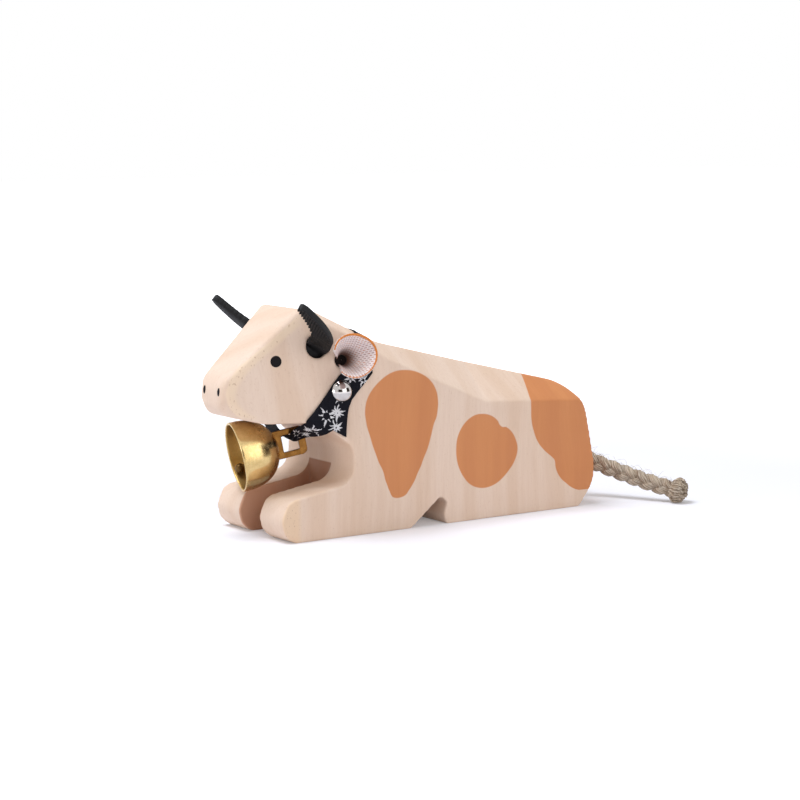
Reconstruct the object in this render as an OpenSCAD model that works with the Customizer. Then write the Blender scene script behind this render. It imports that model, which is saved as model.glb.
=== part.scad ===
// Lying cow sawn from one plank, with rubber horns, cloth ears, a rope tail, and a bell on a ribbon.
// The nose points to -X, the cow's left flank to -Y, and the figure stands on Z = 0.

/* [Body] */
// Length from nose to rump
body_len = 138; // [125:1:165]
// Height at the poll
body_h = 72.2; // [65:0.1:85]
// Thickness of the plank
body_w = 40; // [36:1:48]
// Width of the saw cut between the front legs
leg_gap = 12; // [9:0.5:14]

/* [Paint] */
// Thickness of the coats of paint
paint_t = 0.15; // [0.1:0.05:0.3]
// Diameter of a painted eye
eye_d = 3.6; // [2.5:0.1:5]
// Height of a painted nostril
nostril_h = 2.6; // [1.5:0.1:4]
// Width of a painted nostril
nostril_w = 1.4; // [1:0.1:2.5]

/* [Horns] */
// Distance from the root of a horn to its tip
horn_len = 22.8; // [18:0.1:28]
// Rise of the bend of a horn above the line from root to tip
horn_bow = 6.8; // [4:0.1:9]
// Width of a horn at its root
horn_w = 7.1; // [5:0.1:8]
// Width of a horn at its cut tip
horn_tip_w = 3; // [2:0.1:4]
// Thickness of the ribbed rubber
horn_t = 2.2; // [1.5:0.1:2.8]
// Depth of the grooves between the ribs
groove_depth = 0.5; // [0.2:0.1:0.8]
// Distance from rib to rib
groove_pitch = 1.3; // [1:0.1:2]
// Depth of the horn's hole
horn_depth = 5; // [3:0.5:7]

/* [Ears] */
// Diameter of the mouth of an ear
ear_mouth_d = 15.2; // [12:0.1:18]
// Diameter of the rolled root of an ear
ear_root_d = 5; // [4:0.1:5.4]
// Length of an ear outside the head
ear_len = 11; // [8:0.5:16]
// Thickness of the ear's cloth
ear_t = 0.9; // [0.6:0.1:1.5]
// Depth of the ear's hole
ear_depth = 3; // [2:0.5:5]
// Upward tilt of an ear
ear_tilt = 11; // [0:1:30]

/* [Collar] */
// Width of the ribbon
ribbon_w = 9; // [7:0.1:11]
// Thickness of the ribbon as it lies on the wood
ribbon_t = 0.45; // [0.3:0.05:0.8]
// Width of the ribbon where it is gathered in the bell's loop
gather_w = 2.8; // [2:0.1:3.4]
// Thickness of the ribbon where it is gathered in the bell's loop
gather_t = 1; // [0.6:0.1:1.2]
// Diameter of the nail's domed head
nail_d = 7; // [5:0.1:9]
// Height of the nail's domed head
nail_h = 2.1; // [1:0.1:3]
// Diameter of the nail's shank
shank_d = 1.4; // [1:0.1:2]
// Length of the nail's shank
shank_len = 9; // [6:0.5:12]

/* [Bell] */
// Diameter of the bell's mouth
bell_d = 22.6; // [20:0.1:23]
// Depth of the bell
bell_depth = 13.8; // [12:0.1:15]
// Thickness of the bell's brass
bell_t = 0.7; // [0.4:0.1:1.2]
// Length of the square loop behind the crown
loop_len = 9.3; // [8.5:0.1:10.5]
// Height of the square loop
loop_h = 9.2; // [8.5:0.1:10.5]
// Thickness of the loop's plate
loop_t = 1.2; // [0.8:0.1:1.6]
// Height of the hole in the loop
loop_hole_h = 5.5; // [5.2:0.1:6]
// Length of the hole in the loop
loop_hole_len = 5.3; // [5:0.1:5.8]
// Length of the bar behind the hole
loop_end_bar = 2.4; // [1.8:0.1:3]
// Slope of the bell's mouth below the horizontal
bell_pitch = 11.2; // [8:0.1:13]
// Turn of the bell towards the right flank
bell_yaw = 17.2; // [0:0.1:20]
// Diameter of the clapper's ball
clapper_d = 3.2; // [2.5:0.1:5]
// Length of the clapper from its pivot to its ball's centre
clapper_len = 12.6; // [11:0.1:13]
// Diameter of the wire of the clapper and its hook
wire_d = 0.8; // [0.6:0.1:1]

/* [Tail] */
// Diameter of the rope
rope_d = 6; // [4:0.5:7]

/* [Fits] */
// Gap between a piece and the hole that it is pushed into
fit_gap = 0.1; // [0.05:0.05:0.2]
// Gap between the ribbon and the wood
skin_gap = 0.1; // [0.05:0.05:0.2]
// Gap round the clapper's eye
play_gap = 0.3; // [0.2:0.05:0.4]

/* [Hidden] */
$fn = 48;
far = 2 * (body_len + body_h + body_w);

// Corners of the side view: place along the length, place up the height, radius to the height
profile_shares = [
    [-0.374, 0, 0.014], [-0.409, 0.1, 0.062], [-0.386, 0.184, 0.069], [-0.209, 0.238, 0.118],
    [-0.209, 0.391, 0.069], [-0.28, 0.504, 0.021], [-0.405, 0.507, 0.277], [-0.5, 0.553, 0.062],
    [-0.5, 0.698, 0.125], [-0.317, 1, 0.022], [-0.27, 0.981, 0.042], [-0.133, 0.841, 0.346],
    [0.462, 0.571, 0.242], [0.51, 0.132, 0.176], [0.457, 0, 0.014], [0.052, 0, 0.006],
    [0.043, 0.039, 0.042], [0.054, 0.101, 0.012], [0.035, 0.127, 0.017], [-0.049, 0, 0.006]];

// Sawn planes on each side: half thickness at the origin, its change along the length and up the
// height, all to the plank's thickness, and the span in length and in height where the cut is made
cheek_shares = [0.7325, 0.885, -0.166];
all_shares = [-1, 1, -1, 2];
cut_shares = [
    [cheek_shares, [-1, 1, 0.288, 2]],
    [[1.587, -1.313, -1.619], [-1, 0.161, -1, 2]],
    [[1.3835, -0.184, -1.584], [0.161, 1, -1, 2]],
    [[2.13, -1.249, -2.259], [-1, 0, -1, 2]],
    [[2.3325, 0.217, -1.996], all_shares],
    [[2.86, 3.222, -1.576], all_shares],
    [[2.485, 4.461, -0.165], all_shares],
    [[1.156, 3.4155, 1.152], [-1, -0.29, 0.415, 2]]];

// Largest share of a side that a rounded corner may take, and the least radius of a coat's inner corner
// in shares of the coat's thickness
corner_room_share = 0.48;
least_radius_share = 0.333;

// How far the saw cut between the legs stops in front of the throat, in shares of the length
slot_past_share = 0.001;

// Outlines of the painted patches on the flank, in shares of the length and the height
shoulder_shares = [
    [-0.069, 0.713], [-0.026, 0.694], [0.002, 0.659], [0.02, 0.612], [0.025, 0.566], [0.022, 0.499],
    [0.008, 0.424], [-0.006, 0.346], [-0.026, 0.267], [-0.043, 0.208], [-0.057, 0.175],
    [-0.078, 0.147], [-0.094, 0.145], [-0.111, 0.176], [-0.122, 0.223], [-0.139, 0.302],
    [-0.162, 0.403], [-0.175, 0.485], [-0.178, 0.543], [-0.17, 0.602], [-0.15, 0.654],
    [-0.122, 0.694], [-0.094, 0.712]];
flank_shares = [
    [0.157, 0.483], [0.184, 0.47], [0.202, 0.443], [0.211, 0.42], [0.226, 0.413], [0.244, 0.386],
    [0.257, 0.348], [0.262, 0.305], [0.251, 0.247], [0.227, 0.194], [0.194, 0.154], [0.158, 0.143],
    [0.122, 0.163], [0.099, 0.209], [0.084, 0.262], [0.078, 0.331], [0.083, 0.393], [0.101, 0.446],
    [0.128, 0.478]];
rump_shares = [
    [0.313, 0.655], [0.3075, 0.576], [0.302, 0.532], [0.302, 0.483], [0.3035, 0.431],
    [0.311, 0.38], [0.3225, 0.331], [0.342, 0.288], [0.371, 0.244], [0.3755, 0.2355],
    [0.3804, 0.1925], [0.3935, 0.149], [0.411, 0.12], [0.435, 0.09],
    [0.457, 0.076], [0.54, 0.075], [0.54, 0.8], [0.313, 0.8]];

// Places on the cheek, in shares of the length and the height
eye_shares = [-0.377, 0.777];
horn_hole_shares = [-0.278, 0.839];
ear_hole_shares = [-0.2326, 0.773];
nail_shares = [-0.2297, 0.6357];

// Place of the nostrils: from the middle to the side in shares of the thickness, and up the height,
// and the share of the length through which they are looked for
nostril_shares = [0.108, 0.652];
nostril_reach_share = 0.7;

// Turn of each horn about the line from root to tip, and that line's rise and heading
left_turn = [14, 36.9, 220.1];
right_turn = [32, 34.3, 225.5];
// The bend's place between root and tip, and the law by which the horn narrows
bend_share = 0.333;
taper_power = 2.2;
// Share of the horn that has grooves, and half the opening of a groove
grooved_share = 0.95;
groove_half = groove_pitch / 3;

// Straight share of an ear at its root, and the law by which it widens from there
ear_straight_share = 0.12;
ear_flare_power = 0.8;

// Band of the ribbon on the wood: a point on its middle line, the slope of that line, a point on its
// cut end and that end's slope
band_shares = [-0.2045, 0.6835];
band_slope = 54;
band_end_shares = [-0.2587, 0.4737];
band_end_slope = 31;
// From the ear up, the band narrows: where its back edge bends in shares of its width, a point on its
// front edge behind the ear, the middle of its narrow top, and that top's share of the width
band_bend_share = 0.63;
ear_pass_shares = [-0.2101, 0.7521];
nape_shares = [-0.1833, 0.96];
nape_share = 0.37;
// Space under the throat that the band leaves open: half the width to the thickness, and the height
throat_shares = [0.3, 0.7];

// Middle line of the ribbon under the throat: place in length, place to the side in shares of the
// thickness, height, and its share of the way from the wide band to the gathered ribbon
sling_shares = [
    [-0.2464, 0.4275, 0.572, 0], [-0.27, 0.4225, 0.51, 0], [-0.284, 0.416, 0.4723, 0],
    [-0.2917, 0.388, 0.4515, 0.12], [-0.2945, 0.3, 0.4405, 0.32], [-0.295, 0.19, 0.4315, 0.6],
    [-0.2945, 0.1, 0.4215, 1]];
loop_pass_shares = [-0.2945, -0.0355, 0.4152];
sling_edge = [0.809, -0.262, -0.588];
gather_edge = [0.9, 0, -0.436];

// Bell in its own frame: the crown is the origin, +X points back along the loop, +Z up
bell_power = 2.63;
bell_r = bell_d / 2;
pass_share = 0.92;
loop_lift_share = 0.065;
loop_hole_x = loop_len - loop_end_bar - loop_hole_len;
loop_mid_z = loop_lift_share * loop_h;
pass_x = pass_share * (loop_len - loop_end_bar) - gather_w / 2;
pass_z = loop_mid_z + loop_hole_h / 2 - gather_w / 2 - play_gap / 2;
hook_drop_share = 2.6;
hook_half_share = 2.2;
hook_x = -bell_t - hook_drop_share * wire_d;
hook_half = hook_half_share * wire_d;
clapper_turn = -36;
eye_r = wire_d / 2 + play_gap + wire_d / 2;
clapper_reach = bell_r - bell_t - play_gap - clapper_d / 2;
clapper_angle = asin(clapper_reach / clapper_len);

// Route of the rope, from the bottom of its hole to its cut end, with the length measured from the rump
tail_bends = [
    [-6, 0, 16], [-3, 0, 16], [0, 0, 16], [2.3, -0.5, 15.8], [4.4, -1.6, 15.3], [6.5, -3.4, 14.5],
    [8.3, -5.6, 13.5], [10, -8.2, 12.3], [11.7, -10.9, 11.2], [13.4, -13.7, 10.2], [15.1, -16.6, 9.2],
    [16.9, -19.6, 8.2], [18.7, -22.6, 7.2], [20.5, -25.7, 6.3], [22.4, -28.8, 5.4],
    [24.3, -31.9, 4.6], [26.2, -35, 3.9], [27.4, -37, 3.5]];
tail_route = [for (bend = tail_bends) [body_len / 2 + bend.x, bend.y, bend.z]];
rope_sides = 10;

function unit(v) = v / norm(v);
function mix(a, b, t) = a + (b - a) * t;
function side_point(share) = [share[0] * body_len, share[1] * body_h];

// Half thickness of a sawn plane at a place, its slopes, and its outward normal on the left side
function half_at(row, x, z) = body_w * (row[0] + row[1] * x / body_len + row[2] * z / body_h);
function slope_x(row) = body_w * row[1] / body_len;
function slope_z(row) = body_w * row[2] / body_h;
function outward(row) = unit([-slope_x(row), -1, -slope_z(row)]);
function on_cheek(share) =
    let (x = share[0] * body_len, z = share[1] * body_h)
    [x, -half_at(cheek_shares, x, z), z];

// Corners of the side view, moved outwards by a skin, each with its own radius
function left_normal(a, b) = let (d = unit(b - a)) [-d.y, d.x];
function skin_corner(before, at, after, r, skin) =
    let (n = left_normal(before, at), m = left_normal(at, after))
    let (bulge = cross(n, m) < 0 ? 1 : -1)
    let (moved = at + skin * (n + m) / (1 + n * m))
    [moved.x, moved.y, max(r + bulge * skin, least_radius_share * paint_t)];
function profile_corner(i) =
    let (row = profile_shares[(i + len(profile_shares)) % len(profile_shares)])
    [row[0] * body_len, row[1] * body_h, row[2] * body_h];
function flat2(p) = [p[0], p[1]];
function skin_profile(skin) = [
    for (i = [0 : len(profile_shares) - 1])
        let (at = profile_corner(i))
        skin_corner(flat2(profile_corner(i - 1)), flat2(at), flat2(profile_corner(i + 1)), at[2], skin)];

// Points of a rounded corner, with its radius limited by the edges on each side
function corner_arc(before, at, after) =
    let (p = flat2(at), a = unit(flat2(before) - p), b = unit(flat2(after) - p))
    let (half = acos(a * b) / 2)
    let (room = corner_room_share * min(norm(flat2(before) - p), norm(flat2(after) - p)))
    let (r = min(at[2], room * tan(half)))
    let (centre = p + unit(a + b) * r / sin(half))
    let (from = p + a * r / tan(half) - centre, turn = 180 - 2 * half)
    let (sign = cross(a, b) > 0 ? -1 : 1, steps = max(2, ceil(turn / 9)))
    [for (k = [0 : steps])
        let (t = sign * turn * k / steps)
        centre + [from.x * cos(t) - from.y * sin(t), from.x * sin(t) + from.y * cos(t)]];
function rounded(corners) =
    let (n = len(corners))
    [for (i = [0 : n - 1])
        each corner_arc(corners[(i + n - 1) % n], corners[i], corners[(i + 1) % n])];

// Extrudes an outline of the side view across the plank
module across(width) {
    rotate([90, 0, 0])
        translate([0, 0, -width / 2])
            linear_extrude(width) children();
}

// All space beyond a plane with the given outward normal, at a distance from the origin
module beyond(normal, distance) {
    rotate([0, -asin(normal.z), atan2(normal.y, normal.x)])
        translate([distance, -far / 2, -far / 2]) cube(far);
}

module span(shares) {
    translate([shares[0] * body_len, -far / 2, shares[2] * body_h])
        cube([(shares[1] - shares[0]) * body_len, far, (shares[3] - shares[2]) * body_h]);
}

module both_sides() {
    children();
    mirror([0, 1, 0]) children();
}

// The sawn cow, grown by a skin on every face
module blank(skin) {
    difference() {
        across(body_w + 2 * skin) polygon(rounded(skin_profile(skin)));
        for (cut = cut_shares) {
            both_sides() intersection() {
                beyond(outward(cut[0]), body_w * cut[0][0] * abs(outward(cut[0]).y) + skin);
                span(cut[1]);
            }
        }
    }
}

// A layer of even thickness on the wood, from one distance out to another
module layer(from, to) {
    difference() {
        blank(to);
        blank(from);
    }
}

// Turns children so that their +Z leaves the left cheek squarely
module leave_cheek(share) {
    normal = outward(cheek_shares);
    translate(on_cheek(share))
        rotate([0, 90 - asin(normal.z), atan2(normal.y, normal.x)]) children();
}

module wood_body() {
    color("wheat") difference() {
        blank(0);
        slot_back = profile_corner(3).x - slot_past_share * body_len;
        translate([-far, -leg_gap / 2, -body_h])
            cube([far + slot_back, leg_gap, body_h + (profile_corner(3).y + profile_corner(4).y) / 2]);
        place_horn(left_turn) horn_bore();
        mirror([0, 1, 0]) place_horn(right_turn) horn_bore();
        both_sides() place_ear() translate([0, 0, -ear_depth])
            cylinder(h = ear_depth + body_w / 2, d = ear_root_d + 2 * fit_gap);
        leave_cheek(nail_shares) translate([0, 0, -shank_len])
            cylinder(h = shank_len + body_w / 4, d = shank_d + fit_gap);
        tail_bore();
    }
}

module tail_bore() {
    translate(tail_route[0]) rotate([0, 90, 0])
        cylinder(h = body_w / 2, d = rope_d + 2 * fit_gap);
}

module coat(outline) {
    intersection() {
        across(far) polygon([for (share = outline) side_point(share)]);
        layer(0, paint_t);
    }
}

module patch_shoulder() {
    color("peru") coat(shoulder_shares);
}

module patch_flank() {
    color("peru") coat(flank_shares);
}

module patch_rump() {
    color("peru") difference() {
        coat(rump_shares);
        tail_bore();
    }
}

module eyes() {
    color("black") both_sides() leave_cheek(eye_shares) cylinder(h = paint_t, d = eye_d);
}

module nostrils() {
    color("black") intersection() {
        both_sides() translate([-body_len, -nostril_shares[0] * body_w, nostril_shares[1] * body_h])
            rotate([0, 90, 0]) linear_extrude(nostril_reach_share * body_len)
                polygon([for (t = [0 : 22.5 : 359]) [nostril_h * cos(t), nostril_w * sin(t)] / 2]);
        layer(0, paint_t);
    }
}

// Middle line of a horn in its own plane, from the root at the origin to the tip on the X axis
function horn_point(t) =
    [2 * t * (1 - t) * bend_share * horn_len + t * t * horn_len, 2 * t * (1 - t) * horn_bow];
function horn_dir(t) = unit(
    [2 * (1 - 2 * t) * bend_share * horn_len + 2 * t * horn_len, 2 * (1 - 2 * t) * horn_bow]);
function horn_half(t) = mix(horn_w, horn_tip_w, pow(t, taper_power)) / 2;
function horn_side(t, side) =
    let (d = horn_dir(t))
    horn_point(t) + side * horn_half(t) * [-d.y, d.x];
function root_side(side) = horn_side(0, side) - (horn_depth - fit_gap) * horn_dir(0);
function horn_outline(steps) = concat(
    [root_side(-1)],
    [for (i = [0 : steps]) horn_side(i / steps, -1)],
    [for (i = [steps : -1 : 0]) horn_side(i / steps, 1)],
    [root_side(1)]);

module place_horn(turn) {
    translate(on_cheek(horn_hole_shares)) rotate([-turn[0], -turn[1], turn[2]]) children();
}

// Round hole along the root of the horn
module horn_bore() {
    d = horn_dir(0);
    rotate([0, 0, atan2(d.y, d.x)]) rotate([0, 90, 0])
        translate([0, 0, -horn_depth])
            cylinder(h = horn_depth + horn_w, d = horn_hole_d);
}

// The hole clears the corners of the flat root
horn_hole_d = sqrt(horn_w * horn_w + horn_t * horn_t) + 2 * fit_gap;

module groove() {
    translate([0, 0, -horn_t / 2]) rotate([90, 0, 0])
        linear_extrude(2 * horn_w, center = true)
            polygon([[-groove_half, -groove_depth], [groove_half, -groove_depth],
                     [groove_half, 0], [0, groove_depth], [-groove_half, 0]]);
}

module horn() {
    color("dimgray") difference() {
        linear_extrude(horn_t, center = true) polygon(horn_outline(14));
        count = floor(grooved_share * horn_len / groove_pitch);
        for (i = [1 : count - 1]) {
            t = i / count;
            d = horn_dir(t);
            translate([horn_point(t).x, horn_point(t).y, 0])
                rotate([0, 0, atan2(d.y, d.x)]) groove();
        }
    }
}

module horn_left() {
    place_horn(left_turn) horn();
}

module horn_right() {
    mirror([0, 1, 0]) place_horn(right_turn) horn();
}

module place_ear() {
    translate(on_cheek(ear_hole_shares)) rotate([90 - ear_tilt, 0, 0]) children();
}

// Radius of the ear's outside, from the head out to the mouth
function ear_r(t) =
    let (flare = max(t - ear_straight_share, 0) / (1 - ear_straight_share))
    mix(ear_root_d, ear_mouth_d, pow(flare, ear_flare_power)) / 2;

module ear() {
    steps = 12;
    inner = [for (i = [0 : steps]) [max(ear_r(i / steps) - ear_t, ear_t), ear_len * i / steps]];
    outer = [for (i = [steps : -1 : 0]) [ear_r(i / steps), ear_len * i / steps]];
    color("linen") rotate_extrude() polygon(concat(
        [[ear_root_d / 2, fit_gap - ear_depth], [ear_root_d / 2 - ear_t, fit_gap - ear_depth]],
        inner, outer));
}

module ear_left() {
    place_ear() ear();
}

module ear_right() {
    mirror([0, 1, 0]) place_ear() ear();
}

// Point of the side view on an edge of the ribbon's band, at a distance along its slope
function band_edge(along, side) =
    side_point(band_shares) + along * [cos(band_slope), sin(band_slope)]
    + side * ribbon_w / 2 * [-sin(band_slope), cos(band_slope)];

// The ribbon's band seen from the side, cut off at its lower end
module band() {
    nape_half = [nape_share * ribbon_w / 2, 0];
    difference() {
        across(far) polygon([
            band_edge(-body_h, -1), band_edge(band_bend_share * ribbon_w, -1),
            side_point(nape_shares) + nape_half, side_point(nape_shares) - nape_half,
            side_point(ear_pass_shares), band_edge(0, 1), band_edge(-body_h, 1)]);
        translate([band_end_shares[0] * body_len, 0, band_end_shares[1] * body_h])
            rotate([0, band_end_slope, 0])
                translate([0, 0, -far]) cube(2 * far, center = true);
        translate([-far / 2, -throat_shares[0] * body_w, -far])
            cube([far, 2 * throat_shares[0] * body_w, far + throat_shares[1] * body_h]);
    }
}

function sling_point(row, side) = [row[0] * body_len, side * row[1] * body_w, row[2] * body_h];
function sling_section(at, edge, run, w, t) =
    let (face = unit(cross(unit(run), unit(edge))))
    [for (c = [[-1, -1], [1, -1], [1, 1], [-1, 1]])
        at + unit(edge) * c[0] * w / 2 + face * c[1] * t / 2];

// Stretch of ribbon from one cheek down to the bell's loop and up to the other cheek
module sling() {
    n = len(sling_shares);
    path = concat(
        [for (row = sling_shares) [sling_point(row, -1), row[3], -1]],
        [[sling_point(loop_pass_shares, 1), 1, 0]],
        [for (i = [n - 1 : -1 : 0]) [sling_point(sling_shares[i], 1), sling_shares[i][3], 1]]);
    last = len(path) - 1;
    rings = [for (i = [0 : last])
        let (row = path[i], side = row[2])
        let (edge = mix([sling_edge.x, -side * sling_edge.y, sling_edge.z], gather_edge, row[1]))
        let (run = path[min(i + 1, last)][0] - path[max(i - 1, 0)][0])
        sling_section(row[0], edge, run, mix(ribbon_w, gather_w, row[1]),
                      mix(ribbon_t, gather_t, row[1]))];
    tube(rings);
}

// Closed tube through rings of points
module tube(rings) {
    n = len(rings[0]);
    last = len(rings) - 1;
    walls = [for (i = [0 : last - 1], k = [0 : n - 1], half = [0, 1])
        let (a = i * n + k, b = i * n + (k + 1) % n)
        half == 0 ? [a, b + n, b] : [a, a + n, b + n]];
    ends = [for (k = [1 : n - 2]) each [[0, k, k + 1], [last * n, last * n + k + 1, last * n + k]]];
    polyhedron([for (ring = rings) each ring], concat(walls, ends));
}

module collar_ribbon() {
    color([0.1, 0.1, 0.12]) difference() {
        union() {
            intersection() {
                band();
                layer(skin_gap, skin_gap + ribbon_t);
            }
            sling();
        }
        leave_cheek(nail_shares) cylinder(h = body_w, d = shank_d + fit_gap, center = true);
    }
}

module collar_nail() {
    cap_r = (nail_d * nail_d / 4 + nail_h * nail_h) / (2 * nail_h);
    color("silver") leave_cheek(nail_shares) {
        translate([0, 0, skin_gap + ribbon_t]) rotate_extrude() intersection() {
            translate([0, nail_h - cap_r]) circle(cap_r, $fn = 96);
            square([nail_d, nail_h]);
        }
        translate([0, 0, fit_gap - shank_len])
            cylinder(h = shank_len - fit_gap + skin_gap + ribbon_t, d = shank_d);
    }
}

// The bell hangs with the middle of its gathered ribbon at this point
module place_bell() {
    translate(sling_point(loop_pass_shares, 1))
        rotate([0, -bell_pitch, -bell_yaw])
            translate([-pass_x, 0, -pass_z]) children();
}

// Radius of a dome of the given mouth radius and depth, at a distance from its mouth
function dome_r(r, depth, s) = r * sqrt(max(0, 1 - pow(s / depth, bell_power)));
function dome_points(r, depth, steps) = [for (i = [0 : steps])
    let (s = depth * sin(90 * i / steps))
    [dome_r(r, depth, s), s]];

// Dome with its crown at the origin and its mouth towards -X
module dome(r, depth) {
    translate([-depth, 0, 0]) rotate([0, 90, 0])
        rotate_extrude($fn = 72) polygon(concat([[0, 0]], dome_points(r, depth, 12)));
}

module bell_shell() {
    points = dome_points(bell_r, bell_depth, 12);
    hollow = dome_points(bell_r - bell_t, bell_depth - bell_t, 12);
    color("darkgoldenrod") place_bell() translate([-bell_depth, 0, 0]) rotate([0, 90, 0])
        rotate_extrude($fn = 72)
            polygon(concat(points, [for (i = [12 : -1 : 0]) hollow[i]]));
}

module bell_loop() {
    color("goldenrod") place_bell() difference() {
        rotate([90, 0, 0]) linear_extrude(loop_t, center = true) difference() {
            translate([-loop_end_bar, loop_mid_z - loop_h / 2])
                offset(r = loop_t, $fn = 24) offset(delta = -loop_t)
                    square([loop_len + loop_end_bar, loop_h]);
            translate([loop_hole_x, loop_mid_z - loop_hole_h / 2])
                square([loop_hole_len, loop_hole_h]);
        }
        dome(bell_r, bell_depth);
    }
}

// Staple inside the crown, turned like the clapper
module bell_hook() {
    color("goldenrod") place_bell() rotate([clapper_turn, 0, 0]) intersection() {
        union() {
            translate([hook_x, 0, 0]) cylinder(h = 2 * hook_half, d = wire_d, center = true);
            for (side = [-1, 1]) {
                translate([hook_x, 0, side * hook_half]) {
                    sphere(d = wire_d);
                    rotate([0, 90, 0]) cylinder(h = -hook_x, d = wire_d);
                }
            }
        }
        translate([-bell_t, 0, 0]) dome(bell_r - bell_t, bell_depth - bell_t);
    }
}

module clapper() {
    color("saddlebrown") place_bell() rotate([clapper_turn, 0, 0]) translate([hook_x, 0, 0])
        rotate([0, 0, 180 - clapper_angle]) {
            rotate_extrude() translate([eye_r, 0]) circle(d = wire_d, $fn = 24);
            translate([eye_r, 0, 0]) rotate([0, 90, 0]) cylinder(h = clapper_len - eye_r, d = wire_d);
            translate([clapper_len, 0, 0]) sphere(d = clapper_d);
        }
}

function frame_at(route, i) =
    let (run = unit(route[min(i + 1, len(route) - 1)] - route[max(i - 1, 0)]))
    let (side = unit(cross([0, 0, 1], run)))
    [side, cross(run, side)];

module tail_rope() {
    rings = [for (i = [0 : len(tail_route) - 1])
        let (axes = frame_at(tail_route, i))
        [for (k = [0 : rope_sides - 1])
            let (t = 360 * k / rope_sides)
            tail_route[i] + rope_d / 2 * (cos(t) * axes[0] + sin(t) * axes[1])]];
    color("tan") tube(rings);
}

wood_body();
patch_shoulder();
patch_flank();
patch_rump();
eyes();
nostrils();
horn_left();
horn_right();
ear_left();
ear_right();
collar_ribbon();
collar_nail();
bell_shell();
bell_loop();
bell_hook();
clapper();
tail_rope();
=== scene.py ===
import math
import random

import bmesh
import bpy
from mathutils import Matrix, Vector
from mathutils.bvhtree import BVHTree


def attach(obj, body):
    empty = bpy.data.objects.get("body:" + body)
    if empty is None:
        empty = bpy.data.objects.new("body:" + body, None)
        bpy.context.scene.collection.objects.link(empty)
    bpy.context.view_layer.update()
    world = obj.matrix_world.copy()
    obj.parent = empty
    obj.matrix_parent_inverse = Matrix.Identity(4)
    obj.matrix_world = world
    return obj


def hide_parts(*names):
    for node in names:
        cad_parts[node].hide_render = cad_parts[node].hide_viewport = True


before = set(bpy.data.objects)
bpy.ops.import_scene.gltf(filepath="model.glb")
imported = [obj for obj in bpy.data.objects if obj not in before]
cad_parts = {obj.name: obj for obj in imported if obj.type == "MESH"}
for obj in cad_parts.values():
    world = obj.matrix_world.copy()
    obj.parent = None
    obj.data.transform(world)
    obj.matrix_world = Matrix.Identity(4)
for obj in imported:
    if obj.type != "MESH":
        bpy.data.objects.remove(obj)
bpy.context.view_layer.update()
mm = 0.001
fullTurn = 2 * math.pi
xAxis, yAxis, up = Vector((1, 0, 0)), Vector((0, 1, 0)), Vector((0, 0, 1))
sideSign = {"Left": -1, "Right": 1}
print("frame loaded")


def setAll(thing, **settings):
    for name, value in settings.items():
        setattr(thing, name, value)
    return thing


def addObject(name, data):
    made = bpy.data.objects.new(name, data)
    bpy.context.scene.collection.objects.link(made)
    return made


# Camera at the photograph's viewing angle
cameraSettings = {
    "place": (-0.41325, -0.59428, 0.13523),
    "tilt": 82.423,
    "heading": -34.979,
    "lens": 100.0,
    "sensor": 36,
    "clip": (0.01, 20),
}


def addCamera(settings):
    near, far = settings["clip"]
    data = setAll(bpy.data.cameras.new("camera"), lens=settings["lens"], sensor_width=settings["sensor"],
                  clip_start=near, clip_end=far)
    turn = (math.radians(settings["tilt"]), 0, math.radians(settings["heading"]))
    camera = setAll(addObject("camera", data), location=settings["place"], rotation_euler=turn)
    bpy.context.scene.camera = camera


addCamera(cameraSettings)
bpy.context.scene.view_settings.view_transform = "Standard"


# Meshes are written in millimetres and scaled when they are made
def addMesh(name, points, faces):
    mesh = bpy.data.meshes.new(name)
    mesh.from_pydata([Vector(p) * mm for p in points], [], faces)
    mesh.validate()
    mesh.polygons.foreach_set("use_smooth", [True] * len(mesh.polygons))
    mesh.update()
    return addObject(name, mesh)


def addUv(piece, name, places):
    layer = piece.data.uv_layers.new(name=name)
    for loop in piece.data.loops:
        layer.data[loop.index].uv = places[loop.vertex_index]


def dress(piece, body, materials, nodes=()):
    for material in materials:
        piece.data.materials.append(material)
    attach(piece, body)
    if nodes:
        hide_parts(*nodes)


def ringFaces(rings, sides, closed=True, first=0):
    faces = []
    around = sides if closed else sides - 1
    for i in range(rings - 1):
        for k in range(around):
            a = first + i * sides + k
            b = first + i * sides + (k + 1) % sides
            faces.append((a, b, b + sides, a + sides))
    return faces


def loft(rings, capStart=True, capEnd=True):
    sides = len(rings[0])
    faces = ringFaces(len(rings), sides)
    if capStart:
        faces.append(tuple(reversed(range(sides))))
    if capEnd:
        faces.append(tuple(range((len(rings) - 1) * sides, len(rings) * sides)))
    return [p for ring in rings for p in ring], faces


def spans(rows):  # the two ends of each span, with the row before and the row after
    last = len(rows) - 1
    return [[rows[max(0, min(last, i + k))] for k in (-1, 0, 1, 2)] for i in range(last)]


def splinePoint(before, a, b, after, t):
    return 0.5 * (2 * a + (b - before) * t + (2 * before - 5 * a + 4 * b - after) * t * t
                  + (3 * a - before - 3 * b + after) * t ** 3)


def catmull(points, perSpan):
    points = [Vector(p) for p in points]
    path = [splinePoint(*four, step / perSpan) for four in spans(points) for step in range(perSpan)]
    return path + points[-1:]


def runAt(path, i):
    return path[min(i + 1, len(path) - 1)] - path[max(i - 1, 0)]


def pathFrames(path):
    frames = []
    for i in range(len(path)):
        run = runAt(path, i).normalized()
        side = up.cross(run).normalized()
        frames.append((run, side, run.cross(side)))
    return frames


def resample(path, step):
    spaced, left = [path[0].copy()], step
    for a, b in zip(path, path[1:]):
        span = (b - a).length
        while left < span:
            spaced.append(a.lerp(b, left / span))
            left += step
        left -= span
    return spaced


def turned(side, over, angle):
    return math.cos(angle) * side + math.sin(angle) * over


def circle(at, side, over, radius, sides):
    return [at + radius * turned(side, over, fullTurn * k / sides) for k in range(sides)]


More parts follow.
